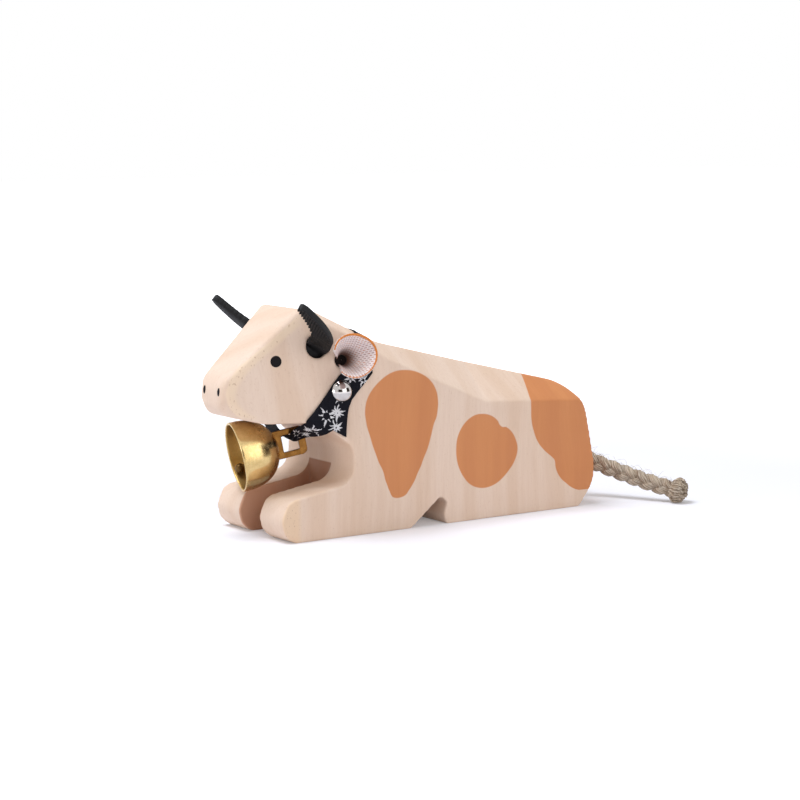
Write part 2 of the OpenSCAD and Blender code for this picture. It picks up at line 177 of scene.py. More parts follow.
def tube(path, radius, sides=8, taper=lambda t: 1):
    return loft([circle(at, side, over, radius * taper(i / (len(path) - 1)), sides)
                 for i, (at, (_, side, over)) in enumerate(zip(path, pathFrames(path)))])


def joined(parts):
    points, faces = [], []
    for morePoints, moreFaces in parts:
        first = len(points)
        points.extend(morePoints)
        faces.extend(tuple(i + first for i in face) for face in moreFaces)
    return points, faces


def lathe(profile, sides, matrix):
    rings = [[matrix @ p for p in circle(xAxis * along, yAxis, up, r, sides)] for r, along in profile]
    return loft(rings, capStart=False, capEnd=False)


def mirrored(p):
    return Vector((p.x, -p.y, p.z))


# Material helpers: most find the node tree through the sockets that they are given
def setInputs(node, values):
    for name, value in values.items():
        if isinstance(value, bpy.types.NodeSocket):
            node.id_data.links.new(value, node.inputs[name])
        else:
            node.inputs[name].default_value = value


def addNode(tree, kind, inputs, **settings):
    made = setAll(tree.nodes.new("ShaderNode" + kind), **settings)
    setInputs(made, inputs)
    return made


def calc(operation, *values, clamp=False):
    tree = next(value.id_data for value in values if isinstance(value, bpy.types.NodeSocket))
    return addNode(tree, "Math", dict(enumerate(values)), operation=operation, use_clamp=clamp).outputs[0]


def times(first, *others):
    for other in others:
        first = calc("MULTIPLY", first, other)
    return first


def plus(a, b):
    return calc("ADD", a, b)


def minus(a, b):
    return calc("SUBTRACT", a, b)


def highest(first, *others):
    for other in others:
        first = calc("MAXIMUM", first, other)
    return first


def lengthOf(a, b):
    return calc("SQRT", plus(times(a, a), times(b, b)))


def ramp(value, low, high, toLow=0.0, toHigh=1.0, smooth=False):
    return addNode(value.id_data, "MapRange", {"Value": value, "From Min": low, "From Max": high,
                                               "To Min": toLow, "To Max": toHigh},
                   interpolation_type="SMOOTHSTEP" if smooth else "LINEAR").outputs[0]


def fall(value, low, high, smooth=False):
    return ramp(value, low, high, 1.0, 0.0, smooth)


def colour(red, green, blue):  # 0 to 255, as seen on a screen
    def linear(v):
        v = v / 255
        return v / 12.92 if v <= 0.04045 else ((v + 0.055) / 1.055) ** 2.4
    return (linear(red), linear(green), linear(blue), 1)


def blend(factor, a, b):  # masks, colours, or screen colours as written in the dictionaries
    a, b = (colour(*tone) if isinstance(tone, tuple) else tone for tone in (a, b))
    return addNode(factor.id_data, "Mix", {0: factor, 6: a, 7: b}, data_type="RGBA").outputs[2]


def vectorMath(operation, *values):
    return addNode(values[0].id_data, "VectorMath", dict(enumerate(values)), operation=operation).outputs[0]


def objectMillimetres(tree):
    return vectorMath("MULTIPLY", addNode(tree, "TexCoord", {}).outputs["Object"], [1 / mm] * 3)


def uvOf(tree, name):
    return addNode(tree, "UVMap", {}, uv_map=name).outputs[0]


def partsOf(vector):
    return list(addNode(vector.id_data, "SeparateXYZ", {0: vector}).outputs)


def noiseOf(vector, scale, detail=3.0, roughness=0.5, stretch=None, output=0):
    if stretch:
        vector = vectorMath("MULTIPLY", vector, stretch)
    return addNode(vector.id_data, "TexNoise", {"Vector": vector, "Scale": scale, "Detail": detail,
                                                "Roughness": roughness}).outputs[output]


def newMaterial(name):
    material = bpy.data.materials.new(name)
    material.use_nodes = True
    tree = material.node_tree
    return material, tree, tree.nodes["Principled BSDF"]


def bumpOf(height, strength, distance):
    return addNode(height.id_data, "Bump", {"Height": height, "Strength": strength,
                                            "Distance": distance}).outputs[0]


def newGroup(name, inputs, output):
    group = bpy.data.node_groups.new(name, "ShaderNodeTree")
    for socket, value in inputs.items():
        kind = "NodeSocketVector" if value is None else "NodeSocketFloat"
        made = group.interface.new_socket(socket, in_out="INPUT", socket_type=kind)
        if value is not None:
            made.default_value = value
    group.interface.new_socket(output, in_out="OUTPUT", socket_type="NodeSocketFloat")
    return group, group.nodes.new("NodeGroupInput").outputs, group.nodes.new("NodeGroupOutput")


def useGroup(tree, group, inputs):
    return addNode(tree, "Group", inputs, node_tree=group).outputs[0]


# Handling marks: two sizes of noise, for a roughness or a colour that changes over the surface
def makeHandling():
    group, given, result = newGroup("handlingMarks", {"Vector": None, "Size": 4.0, "Least": 0.0, "Most": 1.0},
                                    "Value")
    inverse = calc("DIVIDE", 1.0, given["Size"])
    broad = noiseOf(given["Vector"], inverse, 2.0)
    fine = noiseOf(given["Vector"], times(inverse, 7.0), 4.0)
    both = plus(times(broad, 0.65), times(fine, 0.35))
    setInputs(result, {"Value": ramp(both, 0.35, 0.65, given["Least"], given["Most"])})
    return group


# Threads crossing at right angles, for ribbon and knitted cloth
def makeWeave():
    group, given, result = newGroup("threads", {"U": 0.0, "V": 0.0, "Pitch": 0.5}, "Height")
    turns = calc("DIVIDE", fullTurn, given["Pitch"])
    crossing = times(*(calc("SINE", times(given[name], turns)) for name in ("U", "V")))
    setInputs(result, {"Height": calc("MULTIPLY_ADD", crossing, 0.5, 0.5)})
    return group


handlingMarks = makeHandling()
threads = makeWeave()


def marksOf(place, size, least=0.0, most=1.0):
    return useGroup(place.id_data, handlingMarks,
                    {"Vector": place, "Size": size, "Least": least, "Most": most})


def markedMaterial(name, tones, rough, size, bump, constants):
    material, tree, shader = newMaterial(name)
    marks = marksOf(objectMillimetres(tree), size)
    setInputs(shader, {"Base Color": blend(marks, *tones), "Roughness": ramp(marks, 0.0, 1.0, *rough),
                       "Normal": bumpOf(marks, *bump), **constants})
    return material


# Tail: jute rope, route in metres from the bottom of its hole to its cut end
tail = {
    "route": [
        (0.0630, 0.0000, 0.0160), (0.0660, 0.0000, 0.0160), (0.0690, 0.0000, 0.0160),
        (0.0713, -0.0005, 0.0158), (0.0734, -0.0016, 0.0153), (0.0755, -0.0034, 0.0145),
        (0.0773, -0.0056, 0.0135), (0.0790, -0.0082, 0.0123), (0.0807, -0.0109, 0.0112),
        (0.0824, -0.0137, 0.0102), (0.0841, -0.0166, 0.0092), (0.0859, -0.0196, 0.0082),
        (0.0877, -0.0226, 0.0072), (0.0895, -0.0257, 0.0063), (0.0914, -0.0288, 0.0054),
        (0.0933, -0.0319, 0.0046), (0.0952, -0.0350, 0.0039), (0.0964, -0.0370, 0.0035)],
    "diameter": 0.006,
    "strands": 3,
    "strandRadius": 1.55,      # millimetres from here on
    "swing": 1.45,             # how far a strand goes up and down
    "lift": 0.75,              # how far a strand goes to each side
    "pitch": 14.4,             # length of one full plait
    "step": 0.3,
    "sides": 14,
    "plies": 5,
    "plyDepth": 0.07,          # as a share of the strand's radius
    "plyTwist": 1.1 / 1.4,
    "seed": 11,
    "tuftLength": 5.4,
    "tuftSpread": 4.2,
    "tuftBundles": 120,
    "tuftThickness": (0.34, 0.58),
    "hairs": 150,
    "hairLength": (1.5, 6.0),
    "hairThickness": 0.045,
    "tones": ((104, 83, 68), (228, 214, 194)),  # colours are as seen on a screen, 0 to 255
    "patchTone": (176, 150, 120),
}


def makeJute(spec):
    material, tree, shader = newMaterial("juteRope")
    fibres = noiseOf(uvOf(tree, "strand"), 1.0, 4.0, 0.6, stretch=(0.45, 2.9, 1.0))
    patches = noiseOf(objectMillimetres(tree), 0.35, 2.0)
    tone = blend(ramp(fibres, 0.37, 0.62), *spec["tones"])
    tone = blend(ramp(patches, 0.35, 0.7, 0.0, 0.45), tone, spec["patchTone"])
    setInputs(shader, {"Base Color": tone, "Roughness": ramp(fibres, 0.3, 0.7, 0.95, 0.75),
                       "Specular IOR Level": 0.25, "Normal": bumpOf(fibres, 1.0, 0.0003)})
    return material


def buildTail(spec, jute):
    route = catmull([Vector(p) / mm for p in spec["route"]], 8)
    step, radius = spec["step"], spec["strandRadius"]
    path = resample(route, step)
    frames = pathFrames(path)
    parts, places = [], []
    tuftStart = len(path) - int(spec["tuftLength"] / step)
    for strand in range(spec["strands"]):
        centres = []
        for i, (at, (run, side, over)) in enumerate(zip(path, frames)):
            turn = fullTurn * (i * step / spec["pitch"] + strand / spec["strands"])
            centres.append(at + spec["swing"] * math.sin(turn) * over
                           + spec["lift"] * math.sin(2 * turn) * side)
        centres = centres[:tuftStart + 8]
        rings = []
        for i, (at, (run, side, over)) in enumerate(zip(centres, pathFrames(centres))):
            ring = []
            for k in range(spec["sides"]):
                angle = fullTurn * k / spec["sides"]
                onPly = angle - spec["plyTwist"] * i * step
                lobe = 1 + spec["plyDepth"] * math.cos(spec["plies"] * onPly)
                ring.append(at + radius * lobe * turned(side, over, angle))
                places.append((i * step * 0.9 + strand * 7, onPly * radius))
            rings.append(ring)
        parts.append(loft(rings))

    def addFibre(ends, lowest, perSpan, thick, sides, taper, place):
        for p in ends:
            p.z = max(p.z, lowest)
        fibre = tube(catmull(ends, perSpan), thick, sides, taper)
        parts.append(fibre)
        places.extend(place(i) for i in range(len(fibre[0])))

    # Loose bundles that spread at the cut end
    picker = random.Random(spec["seed"])
    knot, (run, side, over) = path[tuftStart], frames[tuftStart]
    for bundle in range(spec["tuftBundles"]):
        angle = picker.uniform(0, fullTurn)
        out = math.sqrt(picker.uniform(0.02, 1))
        outward = turned(side, over, angle) * out
        start = knot - run * 0.6 + outward * 1.9
        reach = spec["tuftLength"] * math.sqrt(1 - 0.6 * out * out) * picker.uniform(0.9, 1.04)
        end = knot + run * reach + outward * spec["tuftSpread"] * picker.uniform(0.8, 1.05)
        stray = Vector([picker.uniform(-1, 1) for _ in range(3)])
        middle = start.lerp(end, 0.5) + outward * 1.1 + 0.35 * stray
        thick = picker.uniform(*spec["tuftThickness"])
        addFibre((start, middle, end), thick + 0.05, 5, thick, 6, lambda t: 1 - 0.3 * t ** 3,
                 lambda i: (0.9 * (i // 6) + bundle, 0.4 * (i % 6)))
    # Fine hairs that stand off the rope
    for _ in range(spec["hairs"]):
        i = picker.randrange(24, len(path) - 4)
        run, side, over = frames[i]
        outward = turned(side, over, picker.uniform(-0.6, math.pi + 0.6))
        length = picker.uniform(*spec["hairLength"])
        lean = run * picker.uniform(-1, 1) * length * 0.8
        start = path[i] + outward * 2.3
        middle = start + outward * length * 0.35 + lean * 0.5
        end = start + outward * length * picker.uniform(0.2, 0.6) + lean
        addFibre((start, middle, end), 0.1, 4, spec["hairThickness"], 3, lambda t: 1 - 0.6 * t,
                 lambda i: (0.5 * (i // 3), 0.1))
    piece = addMesh("tailRope", *joined(parts))
    addUv(piece, "strand", places)
    dress(piece, "body", [jute], ["tail_rope"])
    length = sum((b - a).length for a, b in zip(route, route[1:])) * mm


buildTail(tail, makeJute(tail))
print("tail rope laid")


# Body: the outline of a lying cow, with the sawn planes
wood = {
    "width": 40.0,
    "corners": [  # length, height, radius
        (-51.2, 0, 1), (-54.5, 2.3, 5), (-56.0, 7.2, 5.9), (-53.2, 13.3, 5), (-28.8, 17.2, 8.5),
        (-28.8, 28.2, 5), (-38.7, 36.4, 1.5), (-55.9, 36.6, 20), (-69.0, 39.9, 4.5), (-69.0, 50.4, 9),
        (-43.8, 72.2, 3), (-37.2, 70.8, 3), (-18.3, 60.75, 25), (63.7, 41.2, 17.5), (70.4, 9.5, 12.7),
        (63.0, 0, 1), (7.2, 0, 0.4), (6.0, 2.8, 3), (7.4, 7.3, 0.9), (4.8, 9.2, 1.2), (-6.7, 0, 0.4)],
    "arcStep": 4.0,
    "planes": [  # half thickness at the origin, change along the length and the height, and the span
        (29.3, 0.2565, -0.092, (-150, 150), (20.8, 150)),
        (63.48, -0.3806, -0.897, (-150, 22.2), (-150, 150)),
        (55.34, -0.0533, -0.8776, (22.2, 150), (-150, 150)),
        (85.2, -0.362, -1.2515, (-150, 0), (-150, 150)),
        (93.3, 0.0629, -1.1058, (-150, 150), (-150, 150)),
        (114.4, 0.9339, -0.8731, (-150, 150), (-150, 150)),
        (99.4, 1.293, -0.0914, (-150, 150), (-150, 150)),
        (46.24, 0.99, 0.6382, (-150, -40), (30, 150))],
    "slot": (12.0, -28.94, 21.4),  # width, back end, top
    "voxel": 0.5,
    "softening": 7,
    "cutBeyond": 9,            # how far the bores run past the cheek
    "tones": ((231, 202, 178), (239, 214, 194)),
    "fibreTone": (214, 180, 155),
    "fleckTone": (196, 154, 122),
    "stripTone": (246, 220, 189),
    "pawTone": (240, 206, 168),
    "poreTone": (184, 140, 104),
    # painted shade on the walls between the legs, lighter at the front and darker at the back
    "slotShadeTones": ((206, 146, 110), (160, 98, 60)),
}
cheekPlane = wood["planes"][0]


def onCheek(x, z, side=-1):
    return Vector((x, side * (cheekPlane[0] + cheekPlane[1] * x + cheekPlane[2] * z), z))


cheekNormal = Vector((-cheekPlane[1], -1, -cheekPlane[2])).normalized()


def roundedOutline(corners, arcStep):
    outline = []
    for i, (x, z, radius) in enumerate(corners):
        at = Vector((x, z))
        toBefore = Vector(corners[i - 1][:2]) - at
        toAfter = Vector(corners[(i + 1) % len(corners)][:2]) - at
        half = toBefore.angle(toAfter) / 2
        radius = min(radius, 0.48 * min(toBefore.length, toAfter.length) * math.tan(half))
        toBefore.normalize()
        toAfter.normalize()
        centre = at + (toBefore + toAfter).normalized() * (radius / math.sin(half))
        start = at + toBefore * (radius / math.tan(half)) - centre
        turn = math.copysign(math.pi - 2 * half, toBefore.y * toAfter.x - toBefore.x * toAfter.y)
        steps = max(2, math.ceil(abs(turn) / math.radians(arcStep)))
        for k in range(steps + 1):
            cos, sin = math.cos(turn * k / steps), math.sin(turn * k / steps)
            outline.append((centre.x + start.x * cos - start.y * sin,
                            centre.y + start.x * sin + start.y * cos))
    return outline


def fromShape(name, shape):
    bmesh.ops.recalc_face_normals(shape, faces=shape.faces)
    mesh = bpy.data.meshes.new(name)
    shape.to_mesh(mesh)
    shape.free()
    return addObject(name, mesh)


def prism(name, outline, width):
    shape = bmesh.new()
    near, far = ([shape.verts.new((x, side * width / 2, z)) for x, z in outline] for side in (-1, 1))
    for side in (near, far):
        shape.faces.new(side)
    for i in range(len(outline)):
        shape.faces.new((near[i - 1], near[i], far[i], far[i - 1]))
    return fromShape(name, shape)


def planeCutter(plane, side):
    thick, alongX, alongZ, spanX, spanZ = plane
    shape = bmesh.new()
    bmesh.ops.create_cube(shape, size=1)
    for corner in shape.verts:
        x, y, z = corner.co
        corner.co = (spanX[x > 0], 400 * y, spanZ[z > 0])
    everything = list(shape.verts) + list(shape.edges) + list(shape.faces)
    cut = bmesh.ops.bisect_plane(shape, geom=everything, plane_co=(0, side * thick, 0),
                                 plane_no=Vector((-alongX, side, -alongZ)).normalized(), clear_inner=True)
    bmesh.ops.contextual_create(shape, geom=[g for g in cut["geom_cut"] if isinstance(g, bmesh.types.BMEdge)])
    return fromShape("cutter", shape)


def boreCutter(start, end, radius):
    points, faces = tube([start, end], radius, 40)
    mesh = bpy.data.meshes.new("cutter")
    mesh.from_pydata(points, [], faces)
    return addObject("cutter", mesh)


def applyModifiers(piece):
    graph = bpy.context.evaluated_depsgraph_get()
    graph.update()
    piece.data = bpy.data.meshes.new_from_object(piece.evaluated_get(graph))
    piece.modifiers.clear()


def carve(block, cutters):
    for cutter in cutters:
        setAll(block.modifiers.new("cut", "BOOLEAN"), operation="DIFFERENCE", solver="EXACT", object=cutter)
    applyModifiers(block)
    for cutter in cutters:
        bpy.data.objects.remove(cutter)


# Horns: flat ribbed rubber, bent in one plane
horn = {
    "base": (-38.4, 60.6),
    "turn": {"Left": (14.0, 36.9, 220.1), "Right": (32.0, 34.3, 225.5)},  # spin, rise, heading
    "length": 22.8,
    "bow": 6.8,
    "bendShare": 0.333,
    "widths": (7.1, 3.0),
    "taperPower": 2.2,
    "thickness": 2.2,
    "grooveDepth": {"Left": 0.42, "Right": 0.05},
    "groovePitch": 0.86,
    "grooveRun": (0.9, 0.44),  # the grooves run straight in the horn's own plane
    "tipShare": 0.93,          # from here the cut tip is rounded
    "columns": 18,
    "rings": 170,
    "corner": 0.2,
    "rootDepth": 4.6,
    "holeRadius": 3.75,
    "plug": [(3.69, 3.6), (3.69, 2.5), (3.45, 2.2), (1.8, 2.1), (0.3, 2.1)],  # radius, depth below the cheek
    "tones": ((9, 9, 10), (24, 24, 26)),
    "dustTone": (76, 76, 80),
}


def hornMatrix(spec, side):
    placed = Matrix.Translation(onCheek(*spec["base"]))
    spin, rise, heading = spec["turn"][side]
    for angle, axis in ((heading, "Z"), (-rise, "Y"), (-spin, "X")):
        placed = placed @ Matrix.Rotation(math.radians(angle), 4, axis)
    return placed if side == "Left" else Matrix.Diagonal((1, -1, 1, 1)) @ placed


def hornPoint(spec, t):
    across = 2 * t * (1 - t)
    return Vector((across * spec["bendShare"] * spec["length"] + t * t * spec["length"],
                   across * spec["bow"], 0))


def hornRun(spec, t):
    turning = 2 * (1 - 2 * t)
    return Vector((turning * spec["bendShare"] * spec["length"] + 2 * t * spec["length"],
                   turning * spec["bow"], 0)).normalized()


# Ears: cones of knitted cloth, with a rolled edging along the mouth
ear = {
    "hole": (-31.0, 55.8),
    "mouth": (-32.6, -26.0, 58.2),
    "mouthHalf": (7.7, 7.2),
    "rootRadius": 2.1,
    "cloth": 0.8,
    "depth": 2.8,
    "flare": 1.12,
    "wrap": (-137, 302),       # the cloth stays open at its front, below
    "tip": 4.5,                # the cone would close this far inside the hole's mouth
    "rootEnd": ((2.2, -0.8), (1.6, -0.55), (0.9, -0.45), (0.05, -0.42)),  # radius, place along the roll
    "edgingRadius": 0.4,
    "around": 72,
    "steps": 22,
    "clothTones": ((246, 228, 224), (253, 244, 241)),
    "threadTones": ((172, 126, 124), (206, 120, 68)),
    # painted shade deep in the cone, darker towards its root
    "hollowShades": [(5.4, 11.6, (98, 58, 40)), (4.2, 5.8, (20, 9, 6))],  # from, to, colour
    "edgingTones": ((204, 112, 34), (238, 150, 66)),
}
nail = {"place": (-31.7, 45.9), "radius": 3.5, "height": 2.1, "lift": 0.62}


def buildWood(spec):
    block = prism("woodBody", roundedOutline(spec["corners"], spec["arcStep"]), spec["width"])
    gap, back, top = spec["slot"]
    cutters = [planeCutter(plane, side) for plane in spec["planes"] for side in (-1, 1)]
    cutters.append(prism("cutter", [(-100, -10), (back, -10), (back, top), (-100, top)], gap))
    beyond = spec["cutBeyond"]
    for side, sign in sideSign.items():
        placed, run = hornMatrix(horn, side), hornRun(horn, 0)
        cutters.append(boreCutter(placed @ (-run * horn["rootDepth"]), placed @ (run * beyond),
                                  horn["holeRadius"]))
        hole = onCheek(*ear["hole"], sign)
        mouth = Vector(ear["mouth"])
        axis = ((mouth if side == "Left" else mirrored(mouth)) - hole).normalized()
        cutters.append(boreCutter(hole - axis * ear["depth"], hole + axis * beyond, ear["rootRadius"] + 0.15))
    tailHole = Vector(tail["route"][0]) / mm
    cutters.append(boreCutter(tailHole, tailHole + xAxis * 20, tail["diameter"] / mm / 2 + 0.1))
    carve(block, cutters)
    setAll(block.modifiers.new("voxels", "REMESH"), mode="VOXEL", voxel_size=spec["voxel"])
    setAll(block.modifiers.new("worn", "SMOOTH"), factor=0.5, iterations=spec["softening"])
    applyModifiers(block)
    block.data.transform(Matrix.Scale(mm, 4))
    block.data.polygons.foreach_set("use_smooth", [True] * len(block.data.polygons))
    block.data.update()
    return block


# Paint: the coats are drawn on the flank and run through the width
paint = {
    "shoulder": [
        (-9.5, 51.5), (-3.6, 50.1), (0.3, 47.6), (2.7, 44.2), (3.5, 40.9), (3.1, 36), (1.1, 30.6),
        (-0.8, 25), (-3.6, 19.3), (-6, 15), (-7.9, 12.6), (-10.7, 10.6), (-13, 10.5), (-15.3, 12.7),
        (-16.9, 16.1), (-19.2, 21.8), (-22.3, 29.1), (-24.2, 35), (-24.5, 39.2), (-23.4, 43.5),
        (-20.7, 47.2), (-16.9, 50.1), (-13, 51.4)],
    "flank": [
        (21.7, 34.9), (25.4, 33.9), (27.9, 32), (29.1, 30.3), (31.2, 29.8), (33.7, 27.9), (35.4, 25.1),
        (36.1, 22), (34.7, 17.8), (31.3, 14), (26.8, 11.1), (21.8, 10.3), (16.9, 11.8), (13.6, 15.1),
        (11.6, 18.9), (10.8, 23.9), (11.5, 28.4), (14, 32.2), (17.6, 34.5)],
    "rump": [
        (43.2, 52.0), (43.2, 47.3), (42.4, 41.6), (41.7, 38.4), (41.7, 34.9), (41.9, 31.1), (42.9, 27.4),
        (44.5, 23.9), (47.2, 20.8), (51.2, 17.6), (51.8, 17.0), (52.5, 13.9), (54.3, 10.8), (56.7, 8.7),
        (60, 6.5), (63.1, 5.5), (67.1, 5.45), (72, 5.4)],
    "stripInner": [  # height and place along the length, from the chin to the poll
        (39.3, -64.3), (42.4, -67.1), (45.6, -68.2), (49.0, -67.8), (52.8, -65.6), (58.0, -59.6),
        (62.8, -53.2), (70.9, -43.7)],
    "stripOuter": [
        (39.3, -59.2), (40.0, -60.7), (41.6, -62.9), (44.5, -64.8), (47.6, -64.6), (51.8, -62.0),
        (56.3, -57.3), (61.6, -50.6), (64.9, -46.4), (68.0, -42.2), (70.9, -39.6)],
    "shoulderCentre": (-11.0, 33.0),
    "flankCentre": (23.0, 22.5),
    "edge": 0.16,
    "tones": ((210, 136, 85), (216, 143, 90)),
    "fibreTone": (200, 126, 78),
}


def curveNode(value, points, least, most):  # the points go up in their first number
    (low, _), (high, _) = points[0], points[-1]
    made = addNode(value.id_data, "FloatCurve", {"Value": ramp(value, low, high)})
    curve = made.mapping.curves[0]
    places = [((x - low) / (high - low), (y - least) / (most - least)) for x, y in points]
    for place in places[1:-1]:
        curve.points.new(*place)
    curve.points[0].location = places[0]
    curve.points[-1].location = places[-1]
    made.mapping.update()
    return ramp(made.outputs[0], 0.0, 1.0, least, most)


def polarMask(x, z, outline, centre, edge):
    polar = sorted((math.atan2(pz - centre[1], px - centre[0]), math.hypot(px - centre[0], pz - centre[1]))
                   for px, pz in outline)
    before = [(angle - fullTurn, r) for angle, r in polar[-3:]]
    after = [(angle + fullTurn, r) for angle, r in polar[:3]]
    dx, dz = minus(x, centre[0]), minus(z, centre[1])
    limit = curveNode(calc("ARCTAN2", dz, dx), before + polar + after, 0.0, max(r for _, r in polar) * 1.1)
    return ramp(minus(limit, lengthOf(dx, dz)), -edge, edge)


def makeWood(spec, coats):
    material, tree, shader = newMaterial("mapleAndPaint")
    place = objectMillimetres(tree)
    x, y, z = partsOf(place)
    aside = calc("ABSOLUTE", y)
    # Year rings seen as upright streaks, broad bands first and fine fibres over them
    drift = noiseOf(place, 1.0, 2.0, stretch=(0.03, 0.03, 0.012))
    bent = plus(calc("MULTIPLY_ADD", y, 0.55, x), times(drift, 12.0))
    bentPlace = addNode(tree, "CombineXYZ", {0: bent, 1: times(y, 0.15), 2: times(z, 0.045)}).outputs[0]
    bands = ramp(noiseOf(bentPlace, 0.16, roughness=0.55), 0.36, 0.64)
    fibres = noiseOf(bentPlace, 1.9, 4.0, 0.6, stretch=(1.0, 5.0, 1.6))
    flecks = noiseOf(place, 1.1, 2.0, stretch=(1.6, 1.6, 0.35))
    tone = blend(bands, *spec["tones"])
    tone = blend(ramp(fibres, 0.4, 0.75, 0.0, 0.22), tone, spec["fibreTone"])
    tone = blend(ramp(flecks, 0.7, 0.8, 0.0, 0.3), tone, spec["fleckTone"])
    # Sanded strips along the edges of the face and of the paws, with short dark pores
    chin, poll = coats["stripInner"][0][0], coats["stripInner"][-1][0]
    height = addNode(tree, "Clamp", {"Value": z, "Min": chin, "Max": poll}).outputs[0]
    inner, outer = (minus(x, curveNode(height, coats[name], -80.0, -30.0))
                    for name in ("stripInner", "stripOuter"))
    strip = times(ramp(inner, 0.0, 0.7, smooth=True), fall(outer, -1.6, 1.2, True), ramp(aside, 6.4, 7.4),
                  fall(x, -46.0, -42.0), ramp(z, 37.5, 40.0))
    paw = times(ramp(aside, 19.3, 19.7), fall(x, -50.5, -48.2, True), fall(z, 14.0, 16.0))
    tone = blend(times(strip, 0.65), tone, spec["stripTone"])
    tone = blend(times(paw, 0.6), tone, spec["pawTone"])
    pores = noiseOf(place, 1.7, 1.0, stretch=(1.0, 1.0, 0.6))
    pored = times(ramp(pores, 0.65, 0.7), calc("MULTIPLY_ADD", highest(strip, paw), 0.35, 0.14))
    tone = blend(pored, tone, spec["poreTone"])
    # Painted shade: the walls between the legs are painted darker, and darker still towards the back of the
    # slot
    slotShade = times(fall(aside, 6.3, 6.7), fall(x, -28.9, -28.5), fall(z, 21.5, 21.9), 0.8)
    tone = blend(slotShade, tone, blend(ramp(x, -52.0, -31.0), *spec["slotShadeTones"]))
    # The coats of paint
    edge = coats["edge"]
    masks = [polarMask(x, z, coats[name], coats[name + "Centre"], edge) for name in ("shoulder", "flank")]
    limit = curveNode(z, sorted((pz, px) for px, pz in coats["rump"]), 30.0, 75.0)
    mask = highest(*masks, ramp(minus(x, limit), -edge, edge))
    coat = blend(bands, *coats["tones"])
    coat = blend(ramp(fibres, 0.4, 0.8, 0.0, 0.22), coat, coats["fibreTone"])
    setInputs(shader, {"Base Color": blend(mask, tone, coat), "Specular IOR Level": 0.35,
                       "Roughness": minus(marksOf(place, 9.0, 0.5, 0.66), times(mask, 0.08)),
                       "Normal": bumpOf(plus(times(fibres, 0.35), mask), 0.35, 0.00012)})
    return material


woodBody = buildWood(wood)
dress(woodBody, "body", [makeWood(wood, paint)],
      ["wood_body", "patch_shoulder", "patch_flank", "patch_rump"])
woodTree = BVHTree.FromPolygons([v.co / mm for v in woodBody.data.vertices],
                                [tuple(p.vertices) for p in woodBody.data.polygons])
print("body sawn and painted", len(woodBody.data.polygons))


# Eyes and nostrils: painted dots with a slightly raised edge
dots = {
    "eyes": {"at": [(-52.0, -10.8, 56.1), (-52.0, 10.8, 56.1)], "half": (1.8, 1.8)},
    "nostrils": {"at": [(-68.8, -4.3, 47.1), (-68.8, 4.3, 47.1)], "half": (0.7, 1.3), "toward": -xAxis},
    "dome": [(1.0, -0.3), (1.0, 0.024), (0.97, 0.06), (0.8, 0.128), (0.5, 0.16), (0.2, 0.16), (0.001, 0.16)],
    "tones": ((8, 6, 9), (20, 14, 18)),
}


def dotMesh(at, spec, dome):
    outward = spec.get("toward", cheekNormal if at[1] < 0 else mirrored(cheekNormal))
    right = outward.cross(up).normalized()
    upward = right.cross(outward)
    rings = []
    for share, height in dome:  # share of the dot's size, height over the wood
        ring = circle(Vector(at) + outward * 12, right * spec["half"][0], upward * spec["half"][1], share, 40)
        hits = [woodTree.ray_cast(p, -outward) for p in ring]
        rings.append([hit + normal * height for hit, normal, _, _ in hits])
    return loft(rings, capStart=False)


blackPaint = markedMaterial("blackPaint", dots["tones"], (0.4, 0.55), 1.2, (0.2, 0.00004),
                            {"Specular IOR Level": 0.12})
for name in ("eyes", "nostrils"):
    pieces = [dotMesh(at, dots[name], dots["dome"]) for at in dots[name]["at"]]
    dress(addMesh(name + "Painted", *joined(pieces)), "body", [blackPaint], [name])
print("eyes and nostrils painted")


def makeRubber(spec):
    material, tree, shader = newMaterial("blackRubber")
    place = objectMillimetres(tree)
    marks, dust = marksOf(place, 3.0), noiseOf(place, 2.4)
    tone = blend(ramp(dust, 0.62, 0.74, 0.0, 0.2), blend(marks, *spec["tones"]), spec["dustTone"])
    setInputs(shader, {"Base Color": tone, "Roughness": ramp(marks, 0.0, 1.0, 0.5, 0.72),
                       "Specular IOR Level": 0.28, "Normal": bumpOf(plus(marks, dust), 0.3, 0.00008)})
    return material


def grooveCut(spec, side, point, along, fromOuter):
    runX, runY = spec["grooveRun"]
    phase = (point.y * runX - point.x * runY) / spec["groovePitch"] % 1
    open_ = min(1, max(0, 2.4 * (1 - abs(2 * phase - 1)) - 0.9))
    fade = min(1, max(0, (along - 0.8) / 1.5)) * min(1, max(0, (fromOuter - 0.15) / 0.6))
    return spec["grooveDepth"][side] * open_ * fade


def hornSection(spec, side, middle, run, w, along):
    across = Vector((-run.y, run.x, 0))
    half, columns, corner = spec["thickness"] / 2, spec["columns"], spec["corner"]
    front = []
    for k in range(columns + 1):
        c = w * (2 * k / columns - 1)
        front.append((c, -half + grooveCut(spec, side, middle + across * c, along, w - c)))
    tooth = (front[0][1] + half) * min(1, max(0.15, (along - 7) / 3))
    inner = -w + 1.5 * tooth
    front = [(max(c, inner + corner * 0.6), b) for c, b in front]
    front[-1] = (w - corner, -half)
    back = [(w, -half + corner), (w, half - corner), (w - corner, half), (0, half), (inner + corner, half),
            (inner, half - corner), (inner, -half + corner + tooth)]
    section = front + back
    if side == "Right":  # both horns are cut alike, so the ribs of the right one face down
        section = [(c, -b) for c, b in reversed(section)]
    return [middle + across * c + up * b for c, b in section]


